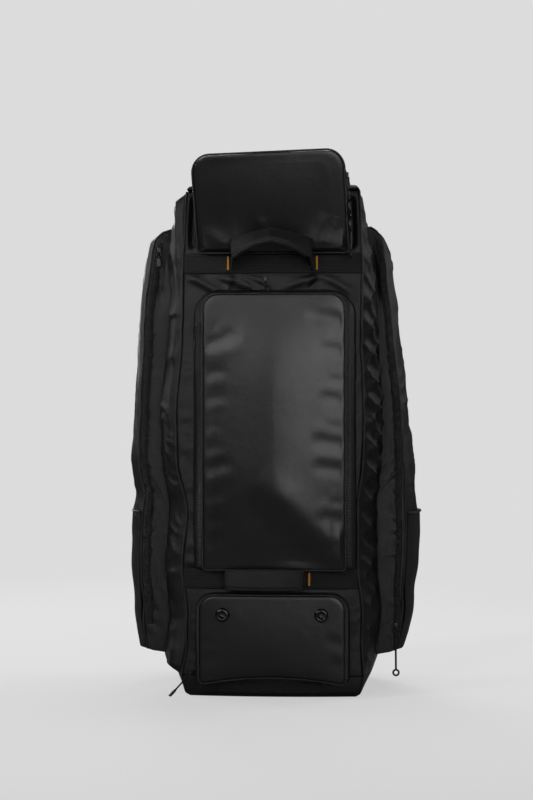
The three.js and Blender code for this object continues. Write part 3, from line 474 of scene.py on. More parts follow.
def noise_effect(name, noise_type, detail, rough):
    group, group_in, group_out = effect(name, {"Scale": 40.0})
    settings = {"Detail": detail, "Roughness": rough}
    field = put(group, "ShaderNodeTexNoise", noise_type=noise_type, inputs=settings)
    group.links.new(group_in.outputs["Vector"], field.inputs["Vector"])
    group.links.new(group_in.outputs["Scale"], field.inputs["Scale"])
    group.links.new(field.outputs["Fac"], group_out.inputs["Height"])
    return group


crinkle = noise_effect("fine creases", "RIDGED_MULTIFRACTAL", 3, 0.5)
mottle = noise_effect("mottle", "FBM", 4, 0.6)

grain, grain_in, grain_out = effect("grain", {"Scale": 700.0})
pebbles = put(grain, "ShaderNodeTexVoronoi", feature="SMOOTH_F1")
grain.links.new(grain_in.outputs["Vector"], pebbles.inputs["Vector"])
grain.links.new(grain_in.outputs["Scale"], pebbles.inputs["Scale"])
grain.links.new(pebbles.outputs["Distance"], grain_out.inputs["Height"])
print("effects:", weave.name, ribs.name, crinkle.name, mottle.name, grain.name)

# %% [markdown]
# A finish is one shader with two close colours that a mottle mixes, a roughness that changes a little over
# the surface, and up to three bumps, from coarse to fine. Depths are in metres, so a bump is as deep as the
# real one.

# %% Finishes
def finish(name, dark, light, rough, bumps, metallic=0, specular=0.5, sheen=0, spread=0.08):
    made = bpy.data.materials.new(name)
    made.use_nodes = True
    tree = made.node_tree
    shader = tree.nodes["Principled BSDF"]
    gloss = {"Metallic": metallic, "Specular IOR Level": specular}
    set_inputs(shader, {**gloss, "Sheen Weight": sheen, "Sheen Roughness": 0.4})
    where = put(tree, "ShaderNodeTexCoord")
    patches = put(tree, "ShaderNodeGroup", node_tree=mottle, inputs={"Scale": 28.0})
    tree.links.new(where.outputs["Object"], patches.inputs["Vector"])
    tones = put(tree, "ShaderNodeMix", {6: (*dark, 1), 7: (*light, 1)}, data_type="RGBA")
    tree.links.new(patches.outputs["Height"], tones.inputs[0])
    tree.links.new(tones.outputs[2], shader.inputs["Base Color"])
    worn = put(tree, "ShaderNodeMapRange", inputs={"To Min": rough - spread, "To Max": rough + spread})
    tree.links.new(patches.outputs["Height"], worn.inputs["Value"])
    tree.links.new(worn.outputs[0], shader.inputs["Roughness"])
    last = None
    for group, size, depth, source in bumps:
        shape = put(tree, "ShaderNodeGroup", node_tree=group)
        shape.inputs[1].default_value = size
        tree.links.new(where.outputs[source], shape.inputs["Vector"])
        bump = put(tree, "ShaderNodeBump", inputs={"Strength": 1.0, "Distance": depth})
        tree.links.new(shape.outputs["Height"], bump.inputs["Height"])
        if last is not None:
            tree.links.new(last.outputs["Normal"], bump.inputs["Normal"])
        last = bump
    if last is not None:
        tree.links.new(last.outputs["Normal"], shader.inputs["Normal"])
    return made


nylon = finish(
    "nylon", (0.0024, 0.0024, 0.0029), (0.0058, 0.0058, 0.0068), 0.42,
    [(crinkle, 30, 0.0012, "Object"), (mottle, 90, 0.0008, "Object"), (weave, 0.0011, 0.00012, "UV")],
    specular=0.38, sheen=0.01,
)
coated = finish(
    "coated cloth", (0.0045, 0.0045, 0.0046), (0.006, 0.006, 0.0061), 0.35,
    [(mottle, 14, 0.0008, "Object"), (grain, 620, 0.0001, "Object")], spread=0.03,
)
moulded = finish(
    "moulded base", (0.004, 0.004, 0.0045), (0.007, 0.007, 0.0075), 0.45, [(grain, 500, 0.0002, "Object")],
    specular=0.35,
)
webbing = finish(
    "webbing", (0.0055, 0.0053, 0.005), (0.0095, 0.0092, 0.0088), 0.6,
    [(ribs, 0.0042, 0.0005, "UV"), (weave, 0.0014, 0.0003, "UV")], specular=0.35, sheen=0.02,
)
grip_cloth = finish(
    "grip cloth", (0.0065, 0.0063, 0.006), (0.011, 0.0107, 0.0103), 0.5, [(weave, 0.0011, 0.0002, "UV")],
    specular=0.4, sheen=0.02,
)
trim = finish(
    "bound trim", (0.0035, 0.0035, 0.004), (0.007, 0.007, 0.0075), 0.42, [(weave, 0.0011, 0.0002, "UV")],
)
zip_tape = finish(
    "zip coil", (0.006, 0.006, 0.0065), (0.012, 0.012, 0.0125), 0.36, [(ribs, 0.0030, 0.0011, "UV")],
)
netting = finish(
    "net", (0.003, 0.003, 0.0036), (0.009, 0.009, 0.0098), 0.6, [(weave, 0.0036, 0.0012, "UV")], specular=0.3,
)
bright = finish("yellow tab", (0.5, 0.2, 0.01), (0.66, 0.3, 0.02), 0.6, [(weave, 0.0011, 0.0002, "UV")])
cast = [(mottle, 60, 0.0002, "Object")]
metal = finish("dark nickel", (0.03, 0.031, 0.033), (0.06, 0.062, 0.065), 0.24, cast, metallic=1)
pull_metal = finish("pull metal", (0.02, 0.0205, 0.0215), (0.05, 0.051, 0.053), 0.36, cast, metallic=1)
print("finishes:", [m.name for m in bpy.data.materials])

# %% [markdown]
# The compartment is four nylon panels. The front one shows between its pockets: V-shaped folds under the
# upper webbing, puckers along the piped seams and a hollow at each side of the hood. The side ones are the
# loose gussets beside the bat sleeves.

# %% Nylon panels of the compartment
PANEL_STEP = 4.35  # grid spacing
TOP_OF_TRAY = BASE_HEIGHT + GAP
heights = np.arange(TOP_OF_TRAY, BODY_HEIGHT + 1, PANEL_STEP)
heights[-1] = BODY_HEIGHT


def panel(side, width, displace):
    share = np.linspace(0.001, 0.999, round(width / PANEL_STEP))[None, :]
    z = heights[:, None]
    flat = wall_point(side, share, z)
    run = share * width
    out = displace(run, z, share)
    hold = np.clip(np.minimum((z - heights[0]), (heights[-1] - z)) / 20, 0, 1)
    hold = hold * np.clip(np.minimum(share, 1 - share) * width / 14, 0.0, 1)
    normal = {"front": (0, -1, 0), "right": (1, 0, 0), "back": (0, 1, 0), "left": (-1, 0, 0)}[side]
    frontward = 0.6 * np.clip(1 - 2 * (share if side == "right" else 1 - share), 0, 1)
    lean = stack(0, -frontward if side in ("left", "right") else 0 * share, 0)
    points = flat + (out * hold)[..., None] * (np.array(normal) + lean)
    return sheet_piece(f"cloth_{side}", points, nylon, "nylon", replaces=f"body_{side}",
                       away_from=(0, 0, BODY_HEIGHT / 2), thick=CLOTH)


half = FRONT_WIDTH / 2
yoke_low = CENTRE_TOP + 8
YOKE_FOLDS = [
    (half - 172, yoke_low + 34, half - 96, yoke_low - 6, 8, 4.4),
    (half - 96, yoke_low - 8, half - 74, yoke_low + 36, 6, 3.4),
    (half - 118, yoke_low + 36, half - 20, yoke_low + 2, 8, 3.8),
    (half - 62, yoke_low + 38, half + 4, yoke_low + 8, 5, 3.6),
    (half + 14, yoke_low + 4, half + 104, yoke_low + 36, 8, 3.8),
    (half + 62, yoke_low + 2, half + 88, yoke_low + 36, 5, 3.6),
    (half + 96, yoke_low + 34, half + 168, yoke_low - 10, 8, 4.0),
]
BESIDE_HOOD, HOLLOW_DEPTH, HOLLOW_WIDTH = (-160, 158), 13, 8.5  # hollows at both sides of the hood


def front_folds(run, z, share):
    edge = near_edge(share, 0.16)
    pucker = edge * creases(run, z, 70, 17, seed=3) * 3.2 + edge * 1.6 * noise(z / 16, run / 40, 5)
    free = 1.0
    for web in (LOW_WEB, HIGH_WEB):
        free = free * np.clip((np.abs(z - web) - WEB_WIDTH / 2) / 9, 0, 1)
    folds = pucker + laid_folds(run, z, YOKE_FOLDS) + 1.2 * noise(run / 60, z / 45, 2)
    folds = folds * free - 1.5 * (1 - free)
    by_hood = np.clip((z - HELMET_FOOT - 4) / 14, 0, 1) * np.clip((BODY_HEIGHT - z) / 20, 0, 1)
    for x in BESIDE_HOOD:
        folds = folds - HOLLOW_DEPTH * by_hood * np.exp(-(((run - half - x) / HOLLOW_WIDTH) ** 2))
    return folds


def zigzag(run, z, pitch, rise):
    """Folds that slant up and down by turns, as slack cloth between two tight seams takes them."""
    turn = 0.8 * noise(z / 70, run / 60, 12)
    one = np.abs(np.sin(np.pi * (z + rise * run) / pitch + turn))
    other = np.abs(np.sin(np.pi * (z - rise * run) / (1.3 * pitch) - turn))
    return (1 - one) ** 1.5 + 0.8 * (1 - other) ** 1.5


SIDE_RUN = BODY_DEPTH + 60  # along the bulge of a side
GUSSET = 74  # run from the front seam to the sleeve, which holds the cloth


def gusset(run, amid, behind):
    """Folds amid the gusset in front of a sleeve, none at the seams that hold it, and others behind them."""
    held = np.sqrt(np.clip(np.sin(np.pi * np.clip(run / GUSSET, 0, 1) ** 0.65), 0, 1))
    return amid * held + behind * np.clip((run - GUSSET) / 14, 0, 1)


def slack_side(run, z, share):
    middle = 0.35 + 0.65 * np.exp(-(((z - 560) / 230) ** 2))
    soft = creases(run, z, 150, 42, 38, seed=11) * 5 + 2.5 * noise(run / 70, z / 60, 4) - 2
    folds = 9.5 * zigzag(run, z, 46, 0.8) * middle - 3
    return gusset(run, folds + 0.4 * soft + 4, soft)


def soft_side(run, z, share):
    run = SIDE_RUN - run  # the left side starts at the back
    long = creases(run, z, 260, 46, 84, seed=13) * 5 + 2.5 * noise(run / 90, z / 80, 4) - 2
    slant = 8 * creases(run, z, 70, 26, 52, seed=16) + 2.0 * noise(run / 30, z / 60, 18)
    top = 11 * np.clip((z - 800) / 120, 0, 1)
    low = 15 * np.clip((150 - z) / 60, 0, 1) * np.sqrt(np.clip((z - 42) / 12, 0, 1))
    return gusset(run, slant + 6, long) + top + low


def back_folds(run, z, share):
    return 1.5 * noise(run / 120, z / 120, 6) + near_edge(share, 0.1) * creases(run, z, 60, 18, seed=19) * 2


panel("front", FRONT_WIDTH, front_folds)
panel("right", SIDE_RUN, slack_side)
panel("back", BACK_WIDTH, back_folds)
panel("left", SIDE_RUN, soft_side)

# %% [markdown]
# The top is one nylon panel that domes a little inside its seam, and the base is a moulded tray with a
# small rim. Both are rings that shrink to a middle point.

# %% Top and base
RING_SHARES = {"front": 46, "right": 40, "back": 46, "left": 40}


def wall_ring(z, inset=0):
    parts = [
        wall_point(side, np.linspace(0, 1, n, endpoint=False), z, inset) for side, n in RING_SHARES.items()
    ]
    ring = np.concatenate(parts)
    return np.concatenate([ring, ring[:1]])


top_ring = wall_ring(BODY_HEIGHT)
top_shares = np.array([1.0, 0.985, 0.97, 0.95, 0.88, 0.78, 0.66, 0.54, 0.42, 0.3, 0.18, 0.08, 0.001])
top_rise = through(1 - top_shares, 1 - np.array([1.0, 0.97, 0.9, 0.6, 0.0]), (0.3, 0.62, 0.75, 0.97, 1.0))
top_points = []
for share, rise in zip(top_shares, top_rise):
    ring = top_ring.copy()
    ring[:, :2] *= share
    crease = creases(ring[:, 0], ring[:, 1], 90, 30, 20, seed=23) * 4 * min(1, (1 - share) * 8)
    ring[:, 2] += CROWN * rise + crease * 0.6
    top_points.append(ring)
bm = bmesh.new()
add_grid(bm, np.array(top_points), ring=True)
bmesh.ops.remove_doubles(bm, verts=bm.verts, dist=MIDDLE_WELD)
piece("cloth_top", bm, nylon, "nylon", replaces="body_top", away_from=(0, 0, BODY_HEIGHT / 2), thick=CLOTH)

tray_rows = []
for share in (0.001, 0.3, 0.6, 0.85, 0.97):
    ring = wall_ring(0.0)
    ring[:, :2] *= share
    tray_rows.append(ring)
for z in (0.0, 1.0, 3.0, 6.0, 10.0, 16.0, 24.0, 32.0, 36.0, 38.5, BASE_HEIGHT):
    tray_rows.append(wall_ring(z))
tray_rows.append(wall_ring(BASE_HEIGHT, 4))
bm = bmesh.new()
add_grid(bm, np.array(tray_rows), ring=True)
bmesh.ops.remove_doubles(bm, verts=bm.verts, dist=MIDDLE_WELD)
piece("base", bm, moulded, "moulded", replaces="base_tray", away_from=(0, 0, 60))

# %% [markdown]
# Piping is a cord wrapped in cloth and sewn into a seam. It follows the seams of the compartment from the
# tray to the top.

# %% Piped seams of the compartment
AWAY = 0.45 * PIPING * np.sqrt(0.5)  # out of a corner each way, half sewn in
SEAMS = {
    "front_left": ("front", 0.0, -1, -1),
    "front_right": ("front", 1.0, 1, -1),
    "back_right": ("back", 0.0, 1, 1),
    "back_left": ("back", 1.0, -1, 1),
}
for name, (side, share, right, back) in SEAMS.items():
    seam = wall_point(side, np.full(len(heights), share), heights)
    wobble = 1.2 * noise(heights / 35, np.zeros(len(heights)), 31 + len(name))
    path = seam + np.array([right * AWAY, back * AWAY, 0]) + np.stack([wobble, 0 * wobble, 0 * wobble], -1)
    rope_piece(f"seam_{name}", path, PIPING, trim, "trim", replaces=f"piping_{name}")

# %% [markdown]
# Each pocket has a padded coated panel in front, piping round it, and a zipped band that runs back to the
# bag. One outline gives all of them: a rectangle with rounded corners that leans, skews and arches a
# little.

# %% Pocket outlines
POCKETS = {
    "helmet": dict(
        width=290, foot=HELMET_FOOT, top=HELMET_TOP, top_radius=33, foot_radius=8, shift=2, skew=-9, tilt=11,
        arch=0, top_drop=12, depth=118, flare=7, top_flare=0,
        front=lambda up: FRONT - FRONT_SAG - 14 - 54 * up**0.9,
    ),
    "centre": dict(
        width=274, foot=CENTRE_FOOT, top=CENTRE_TOP, top_radius=30, foot_radius=4, shift=4, skew=0, tilt=0,
        arch=0, top_drop=0, depth=CLOTH, flare=24, top_flare=0.55,
        front=lambda up: FRONT - FRONT_SAG - 32 * (1 - 0.36 * (1 - np.clip(up / 0.42, 0, 1)) ** 2),
    ),
    "shoe": dict(
        width=282, foot=SHOE_FOOT, top=SHOE_TOP, top_radius=28, foot_radius=10, shift=0, skew=0, tilt=0,
        arch=14, top_drop=0, depth=CLOTH, flare=12, top_flare=0.5,
        front=lambda up: FRONT - FRONT_SAG - 26 * (1 - 0.08 * (1 - np.clip(up / 0.7, 0, 1)) ** 2),
    ),
}
CORNER_STEPS, SIDE_STEPS, END_STEPS = 10, 90, 50


def outline(left, right, foot, top, top_radius, foot_radius):
    """A rounded rectangle of x and z, anticlockwise from its lower right corner."""
    corners = [
        (right - foot_radius, foot + foot_radius, foot_radius),
        (right - top_radius, top - top_radius, top_radius),
        (left + top_radius, top - top_radius, top_radius),
        (left + foot_radius, foot + foot_radius, foot_radius),
    ]
    rounds = []
    for i, (x, z, radius) in enumerate(corners):
        angle = np.pi / 2 * (i - 1 + np.linspace(0, 1, CORNER_STEPS + 1))
        rounds.append(np.stack([x + radius * np.cos(angle), z + radius * np.sin(angle)], -1))
    parts = []
    for i, corner in enumerate(rounds):
        steps = (SIDE_STEPS, END_STEPS)[i % 2]
        t = (np.arange(1, steps) / steps)[:, None]
        parts += [corner, mix(corner[-1], rounds[(i + 1) % 4][0], t)]
    ring = np.concatenate(parts)
    return np.concatenate([ring, ring[:1]])


OVER_TOP = slice(CORNER_STEPS, 3 * (CORNER_STEPS + 1) + 2 * SIDE_STEPS + END_STEPS - 2)


def pocket_ring(p, share, inset=0):
    flare = p["flare"] * np.sqrt(share)
    ring = outline(
        -p["width"] / 2 - flare + inset, p["width"] / 2 + flare - inset, p["foot"] + inset,
        p["top"] + flare * p["top_flare"] - p["top_drop"] * share - inset,
        max(p["top_radius"] + flare - inset, 1), max(p["foot_radius"] - inset, 1),
    )
    x, z = ring[:, 0], ring[:, 1]
    up = np.clip((z - p["foot"]) / (p["top"] - p["foot"]), 0, 1)
    across = x / p["width"]
    arch = p["arch"] * np.maximum(0, 1 - 4 * across**2) * np.maximum(0, 1 - 3 * up)
    y = mix(p["front"](up), FRONT + p["depth"], share)
    return stack(x + p["shift"] + p["skew"] * up * (1 - share), y, z + p["tilt"] * across * up + arch)


print("pocket outlines have", len(pocket_ring(POCKETS["helmet"], 0)), "points")

# %% [markdown]
# The coated panels are padded, so they rise quickly from their piping and then swell slowly to the middle.
# Along their sides the stitching gathers them into small level puckers, which is what catches the light.

# %% Padded, coated panels
PILLOW = {"helmet": (3, 2, 2), "centre": (14, 1.5, 4), "shoe": (2.5, 2, 2)}  # swell, and its curve each way
PUCKERS = {"helmet": (0, 0, 0), "centre": (10, 0.9, 56), "shoe": (3, 0.6, 36)}  # a side, depth and length
EYELET_X, EYELET_Z, EYELET_HOLE, EYELET_SINK = 193 / 2, SHOE_TOP - 36, 11, 7


def puckers(name):
    """Short folds from both sides of a panel, that rise a little inwards and are never quite alike."""
    p = POCKETS[name]
    count, depth, reach = PUCKERS[name]
    step = (p["top"] - p["foot"] - 60) / max(count, 1)
    folds = []
    for side in (-1, 1):
        for k in range(count):
            odd = noise(k * 1.7, side * 3.3, 45)
            z = p["foot"] + 26 + step * (k + 0.5 + 0.3 * odd)
            start, end = side * (p["width"] / 2 + 22), side * (p["width"] / 2 - reach * (1 + 0.5 * odd))
            high = -depth * (1 + 0.7 * odd)
            folds.append((start, z - 8, end, z + side * -6 + 8 + 6 * odd, 13 + 4 * odd, high))
    return folds


def padded_panel(name, swell_folds, eyelets=False):
    p = POCKETS[name]
    rim = pocket_ring(p, 0)
    middle = rim[:-1].mean(0)
    shares = 1 - np.linspace(0, 1, 60) ** 1.5
    shares[-1] = 0.001
    grid = middle + (rim - middle)[None] * shares[:, None, None]
    x, z = grid[..., 0], grid[..., 2]
    up = np.clip((z - p["foot"]) / (p["top"] - p["foot"]), 0, 1)
    half_width = p["width"] / 2
    across = np.clip(np.abs(x - p["shift"] - p["skew"] * up) / half_width, 0, 1)
    inward = (1 - shares)[:, None]
    base = mix(grid[..., 1], p["front"](up), np.clip(inward * 5, 0, 1))
    rise, level, upright = PILLOW[name]
    swell = rise * (1 - across**level) * (1 - np.abs(2 * up - 1) ** upright) * (1 - (1 - inward) ** 4)
    folds = laid_folds(x - p["shift"], z, puckers(name) + swell_folds)
    held = np.clip(inward * 16, 0, 1)
    out = swell - 1.5 * np.exp(-inward * 40) + folds * held
    if eyelets:
        for side in (-1, 1):
            r = np.hypot(x - side * EYELET_X, z - EYELET_Z)
            out = out - EYELET_SINK * np.clip((EYELET_HOLE - r) / 5, 0, 1)
    grid[..., 1] = base - out
    bm = bmesh.new()
    add_grid(bm, grid, ring=True)
    bmesh.ops.remove_doubles(bm, verts=bm.verts, dist=MIDDLE_WELD)
    inside = (0, 0, grid[..., 2].mean())
    return piece(f"padded_{name}", bm, coated, "coated", replaces=f"{name}_panel", away_from=inside,
                 fill=0.5, thick=PADDED_SKIN)


HELMET_FOLDS = [
    (-165, HELMET_FOOT - 10, -40, HELMET_FOOT + 2, 36, 8),
    (36, HELMET_FOOT + 2, 165, HELMET_FOOT - 10, 36, 8),
    (-132, HELMET_FOOT + 44, -84, HELMET_FOOT + 2, 12, 1.0),
    (66, HELMET_FOOT + 2, 104, HELMET_FOOT + 74, 12, 1.2),
    (96, HELMET_FOOT + 2, 126, HELMET_FOOT + 66, 10, 1.0),
    (-24, HELMET_FOOT + 66, -16, HELMET_FOOT + 20, 10, 1.2),
]
padded_panel("helmet", HELMET_FOLDS)
CENTRE_FOLDS = [(-30, CENTRE_FOOT + 188, 165, CENTRE_FOOT - 14, 36, 5)]
padded_panel("centre", CENTRE_FOLDS)
padded_panel("shoe", [], eyelets=True)

# %% [markdown]
# The bands behind the panels are nylon with a coil zip near the front. The cloth between the zip and the
# bag is gathered, so it is puckered across its length.

# %% Zipped bands and their piping
BAND_SHARES = {
    "helmet": np.linspace(0, 1, 40),
    "centre": np.linspace(0, 1, 14),
    "shoe": np.linspace(0, 1, 12),
}
CAD_FOLD = {"helmet": 0.1, "centre": 0.5, "shoe": 0.5}
ZIP_SPAN, TAPE_THICK = (0.15, 0.8), 0.8


def band(name):
    p = POCKETS[name]
    fold = CAD_FOLD[name]
    front_ring = pocket_ring(p, 0)
    front_ring[:, 1] += COATED + GAP
    fold_ring = pocket_ring(p, fold)
    rows = []
    for share in BAND_SHARES[name]:
        ring = mix(front_ring, fold_ring, share / fold) if share < fold else pocket_ring(p, share)
        rows.append(ring)
    grid = np.array(rows)
    middle = grid.mean((0, 1))
    run = np.cumsum(np.linalg.norm(np.diff(grid[0], axis=0, prepend=grid[0][:1]), axis=1))[None, :]
    depth = BAND_SHARES[name][:, None]
    outward = grid - middle
    outward[..., 1] = 0
    outward /= np.linalg.norm(outward, axis=2, keepdims=True)
    hold = np.clip((depth - fold) * 6, 0, 1) * np.clip((1 - depth) * 8, 0, 1)
    gather = creases(run, depth * 90, 14, 40, seed=51) * 1.6 * hold
    grid = grid + outward * gather[..., None]
    bm = bmesh.new()
    add_grid(bm, grid, ring=True)
    piece(f"band_{name}", bm, nylon, "nylon", replaces=f"{name}_band",
          away_from=tuple(middle), thick=THIN_CLOTH)

    edge = pocket_ring(p, 0, -PIPING - GAP)
    edge[:, 1] += COATED / 2
    rope_piece(f"edge_{name}", edge, PIPING, trim, "trim", closed=True, replaces=f"{name}_piping")

    start, end = front_ring[OVER_TOP], fold_ring[OVER_TOP]
    spans = np.linspace(ZIP_SPAN[0], ZIP_SPAN[1], 9)
    coil = np.array([0, 0.5, 0.6, 0.6, 1.7, 0.6, 0.6, 0.5, 0])
    away = start - middle
    away[:, 1] = 0
    away /= np.linalg.norm(away, axis=1, keepdims=True)
    threads = [mix(start, end, s) + away * (GAP + 0.4 + h) for s, h in zip(spans, coil)]
    strip = np.array(threads).transpose(1, 0, 2)
    sheet_piece(f"zip_{name}", strip, zip_tape, "zip", replaces=f"{name}_zip",
                away_from=tuple(middle), thick=TAPE_THICK)


for name in POCKETS:
    band(name)

# %% [markdown]
# Two webbing straps cross the front and a short one crosses its foot. Yellow tabs are sewn over the long
# ones, beside the grips. All of them are ribbons that follow the front panel.

# %% Webbing and tabs
def ribbon_piece(name, surface, columns, rows, out, thick, material, slot, replaces):
    grid = surface(columns[None, :], rows[:, None], out + thick)
    inside = (0, 0, rows.mean())
    return sheet_piece(name, grid, material, slot, replaces=replaces, away_from=inside, thick=thick, sharp=40)


def front_span(z, steps):
    row = wall_row(z)
    return np.linspace(-FRONT_WIDTH / 2 * row["left"] + 1, FRONT_WIDTH / 2 * row["right"] - 1, steps)


LOW_SHIFT, GRIP_LENGTH, GRIP_WIDTH, GRIP_THICK, GRIP_SIDES = -15, 160, 42, 15, 64
TAB_WIDTH, TAB_HEIGHT, TAB_THICK = 4, 27, 1.0
STRAP_LEFT, STRAP_RIGHT, STRAP_FOOT, STRAP_TOP = -109, 97, 8, 30
for name, z in (("upper", HIGH_WEB), ("lower", LOW_WEB)):
    rows = np.linspace(z - WEB_WIDTH / 2, z + WEB_WIDTH / 2, 9)
    columns = front_span(z, 90)
    replaces = f"{name}_webbing"
    ribbon_piece(f"web_{name}", on_front, columns, rows, GAP, WEB_THICK, webbing, "webbing", replaces)
tab_end = 1.04 * GRIP_LENGTH / 2 + TAB_WIDTH / 2 + 2
TABS = (
    ("upper_left", -tab_end, HIGH_WEB),
    ("upper_right", tab_end, HIGH_WEB),
    ("lower_right", LOW_SHIFT + tab_end, LOW_WEB),
)
for name, x, z in TABS:
    columns = np.linspace(x - TAB_WIDTH / 2, x + TAB_WIDTH / 2, 4)
    rows = np.linspace(z - TAB_HEIGHT / 2, z + TAB_HEIGHT / 2, 12)
    out = 2 * GAP + WEB_THICK
    ribbon_piece(f"marker_{name}", on_front, columns, rows, out, TAB_THICK, bright, "bright", f"tab_{name}")
columns = np.linspace(STRAP_LEFT, STRAP_RIGHT, 50)
rows = np.linspace(STRAP_FOOT, STRAP_TOP, 7)
ribbon_piece("web_base", on_front, columns, rows, GAP, WEB_THICK, webbing, "webbing", "base_strap")

# %% [markdown]
# A padded grip is sewn over each long strap. It is a tube of cloth over foam: wide and flat, with a line of
# stitches along both edges, and it narrows to the flat tails that are sewn down.

# %% Padded grips
GRIP = {
    "along": (0, 0.3, 0.56, 0.79, 0.92, 0.955, 0.98),
    "rise": (1, 0.9, 0.76, 0.62, 0.52, 0.36, -0.08),
    "reach": (1, 0.98, 0.9, 0.78, 0.68, 0.5, 0),
    "lean": (1, 0.95, 0.75, 0.45, 0.2, 0.1, 0),
    "wide": (1, 1, 1, 1, 0.97, 0.86, 0.78),
    "thick": (1, 1, 1, 0.95, 0.75, 0.25, 0.18),
}


def grip(name, z, rise, reach, tilt, shift):
    half_rows = np.concatenate([np.linspace(0, 0.915, 40), np.linspace(0.92, 0.98, 10)])
    along = np.concatenate([-half_rows[:0:-1], half_rows])
    row = {key: through(np.abs(along), GRIP["along"], column) for key, column in GRIP.items()}
    x = shift + along * GRIP_LENGTH / 2
    path = on_front(x, np.full(len(x), z), 3 * GAP + WEB_THICK + reach * row["reach"])
    path[:, 2] = z + rise * row["rise"]
    lean = np.radians(tilt * row["lean"])
    across = np.stack([0 * lean, np.sin(lean), np.cos(lean)], -1)
    wide, thick = GRIP_WIDTH * row["wide"], GRIP_THICK * row["thick"]
    grid = rings_along(path, wide, thick, across, sides=GRIP_SIDES, square=0.62, groove=0.22)
    centre_line = path[:, None]
    swell = 1 + 0.03 * noise(along[:, None] * 9, np.linspace(0, 6, GRIP_SIDES + 1)[None, :], 61)
    grid = centre_line + (grid - centre_line) * swell[..., None]
    bm = bmesh.new()
    add_grid(bm, grid, ring=True, caps=True)
    piece(f"grip_{name}", bm, grip_cloth, "webbing", replaces=f"{name}_handle", fill=0.7)


grip("upper", HIGH_WEB, 48, 62, 50, 0)
grip("lower", LOW_WEB, 0, 26, 0, LOW_SHIFT)

# %% [markdown]
# The bat sleeves stand off the sides. Each has a flat front with a zip and a piped corner, and a loose
# outside of thin nylon that is full of creases.

# %% Bat sleeves
SLEEVE = {
    "height": (-0.014, 0, 0.06, 0.13, 0.2, 0.31, 0.38, 0.46, 0.56, 0.65, 0.81, 0.88, 0.965, 0.988, 1, 1.014),
    "left": (-0.3, 0.88, 0.9, 0.86, 0.86, 0.94, 0.79, 0.78, 0.7, 0.74, 0.85, 0.81, 0.82, 0.6, 0.1, -0.3),
    "right": (-0.3, 0.61, 0.69, 0.72, 0.88, 0.96, 0.88, 0.72, 0.58, 0.52, 0.41, 0.36, 0.4, 0.3, 0.08, -0.3),
}
OUTSIDE = {"run": (0, 0.12, 0.36, 0.64, 0.87, 1), "stand": (0.86, 0.97, 1, 0.92, 0.58, -0.15)}
SLEEVE_FRONT = FRONT + SLEEVE_SETBACK
SETBACK = CLOTH + 2 * GAP
FACING = {"left": -1, "right": 1}
ZIP_STAND, CORNER_STAND, ZIP_FOOT, ZIP_TOP, TAPE_PROUD = 0.66, 0.86, 0.06, 0.965, 2.4


def sleeve_rows(count):
    """Shares up a sleeve, with short rows where its two ends close."""
    foot, top = [-0.014, -0.009, -0.004], np.linspace(0.97, 1.014, 16)
    return np.concatenate([foot, np.linspace(0, 0.965, count), top])[:, None]


def within(share):
    """0 at both ends of a sleeve, and 1 a little way in."""
    return np.clip(share * 12, 0, 1) * np.clip((1 - share) * 12, 0, 1)


def sleeve_points(side, share, run, stand, setback=0, out=0):
    z = SLEEVE_FOOT + share * SLEEVE_LENGTH
    y = SLEEVE_FRONT + setback + run * SLEEVE_RUN
    depth = through(share, SLEEVE["height"], SLEEVE[side]) * SLEEVE_DEPTH
    x = side_reach(side, y, z) + np.minimum(depth, depth * stand) + out
    return stack(FACING[side] * x, y, z)


def mouth(share, stand):
    """How far the slack cloth beside the top of the zip falls in."""
    near_top = np.clip((share - 0.8) / 0.05, 0, 1) * np.clip((1 - share) * 30, 0, 1)
    return 10 * near_top * np.exp(-(((stand - 0.42) / 0.26) ** 2))


def ruffles(z, stand, seed):
    """Small gathers of the cloth and the tape along a sleeve's zip."""
    return 1.7 * noise(z / 8, stand * 9, seed + 6) + 1.5 * noise(z / 15, stand * 5, seed)


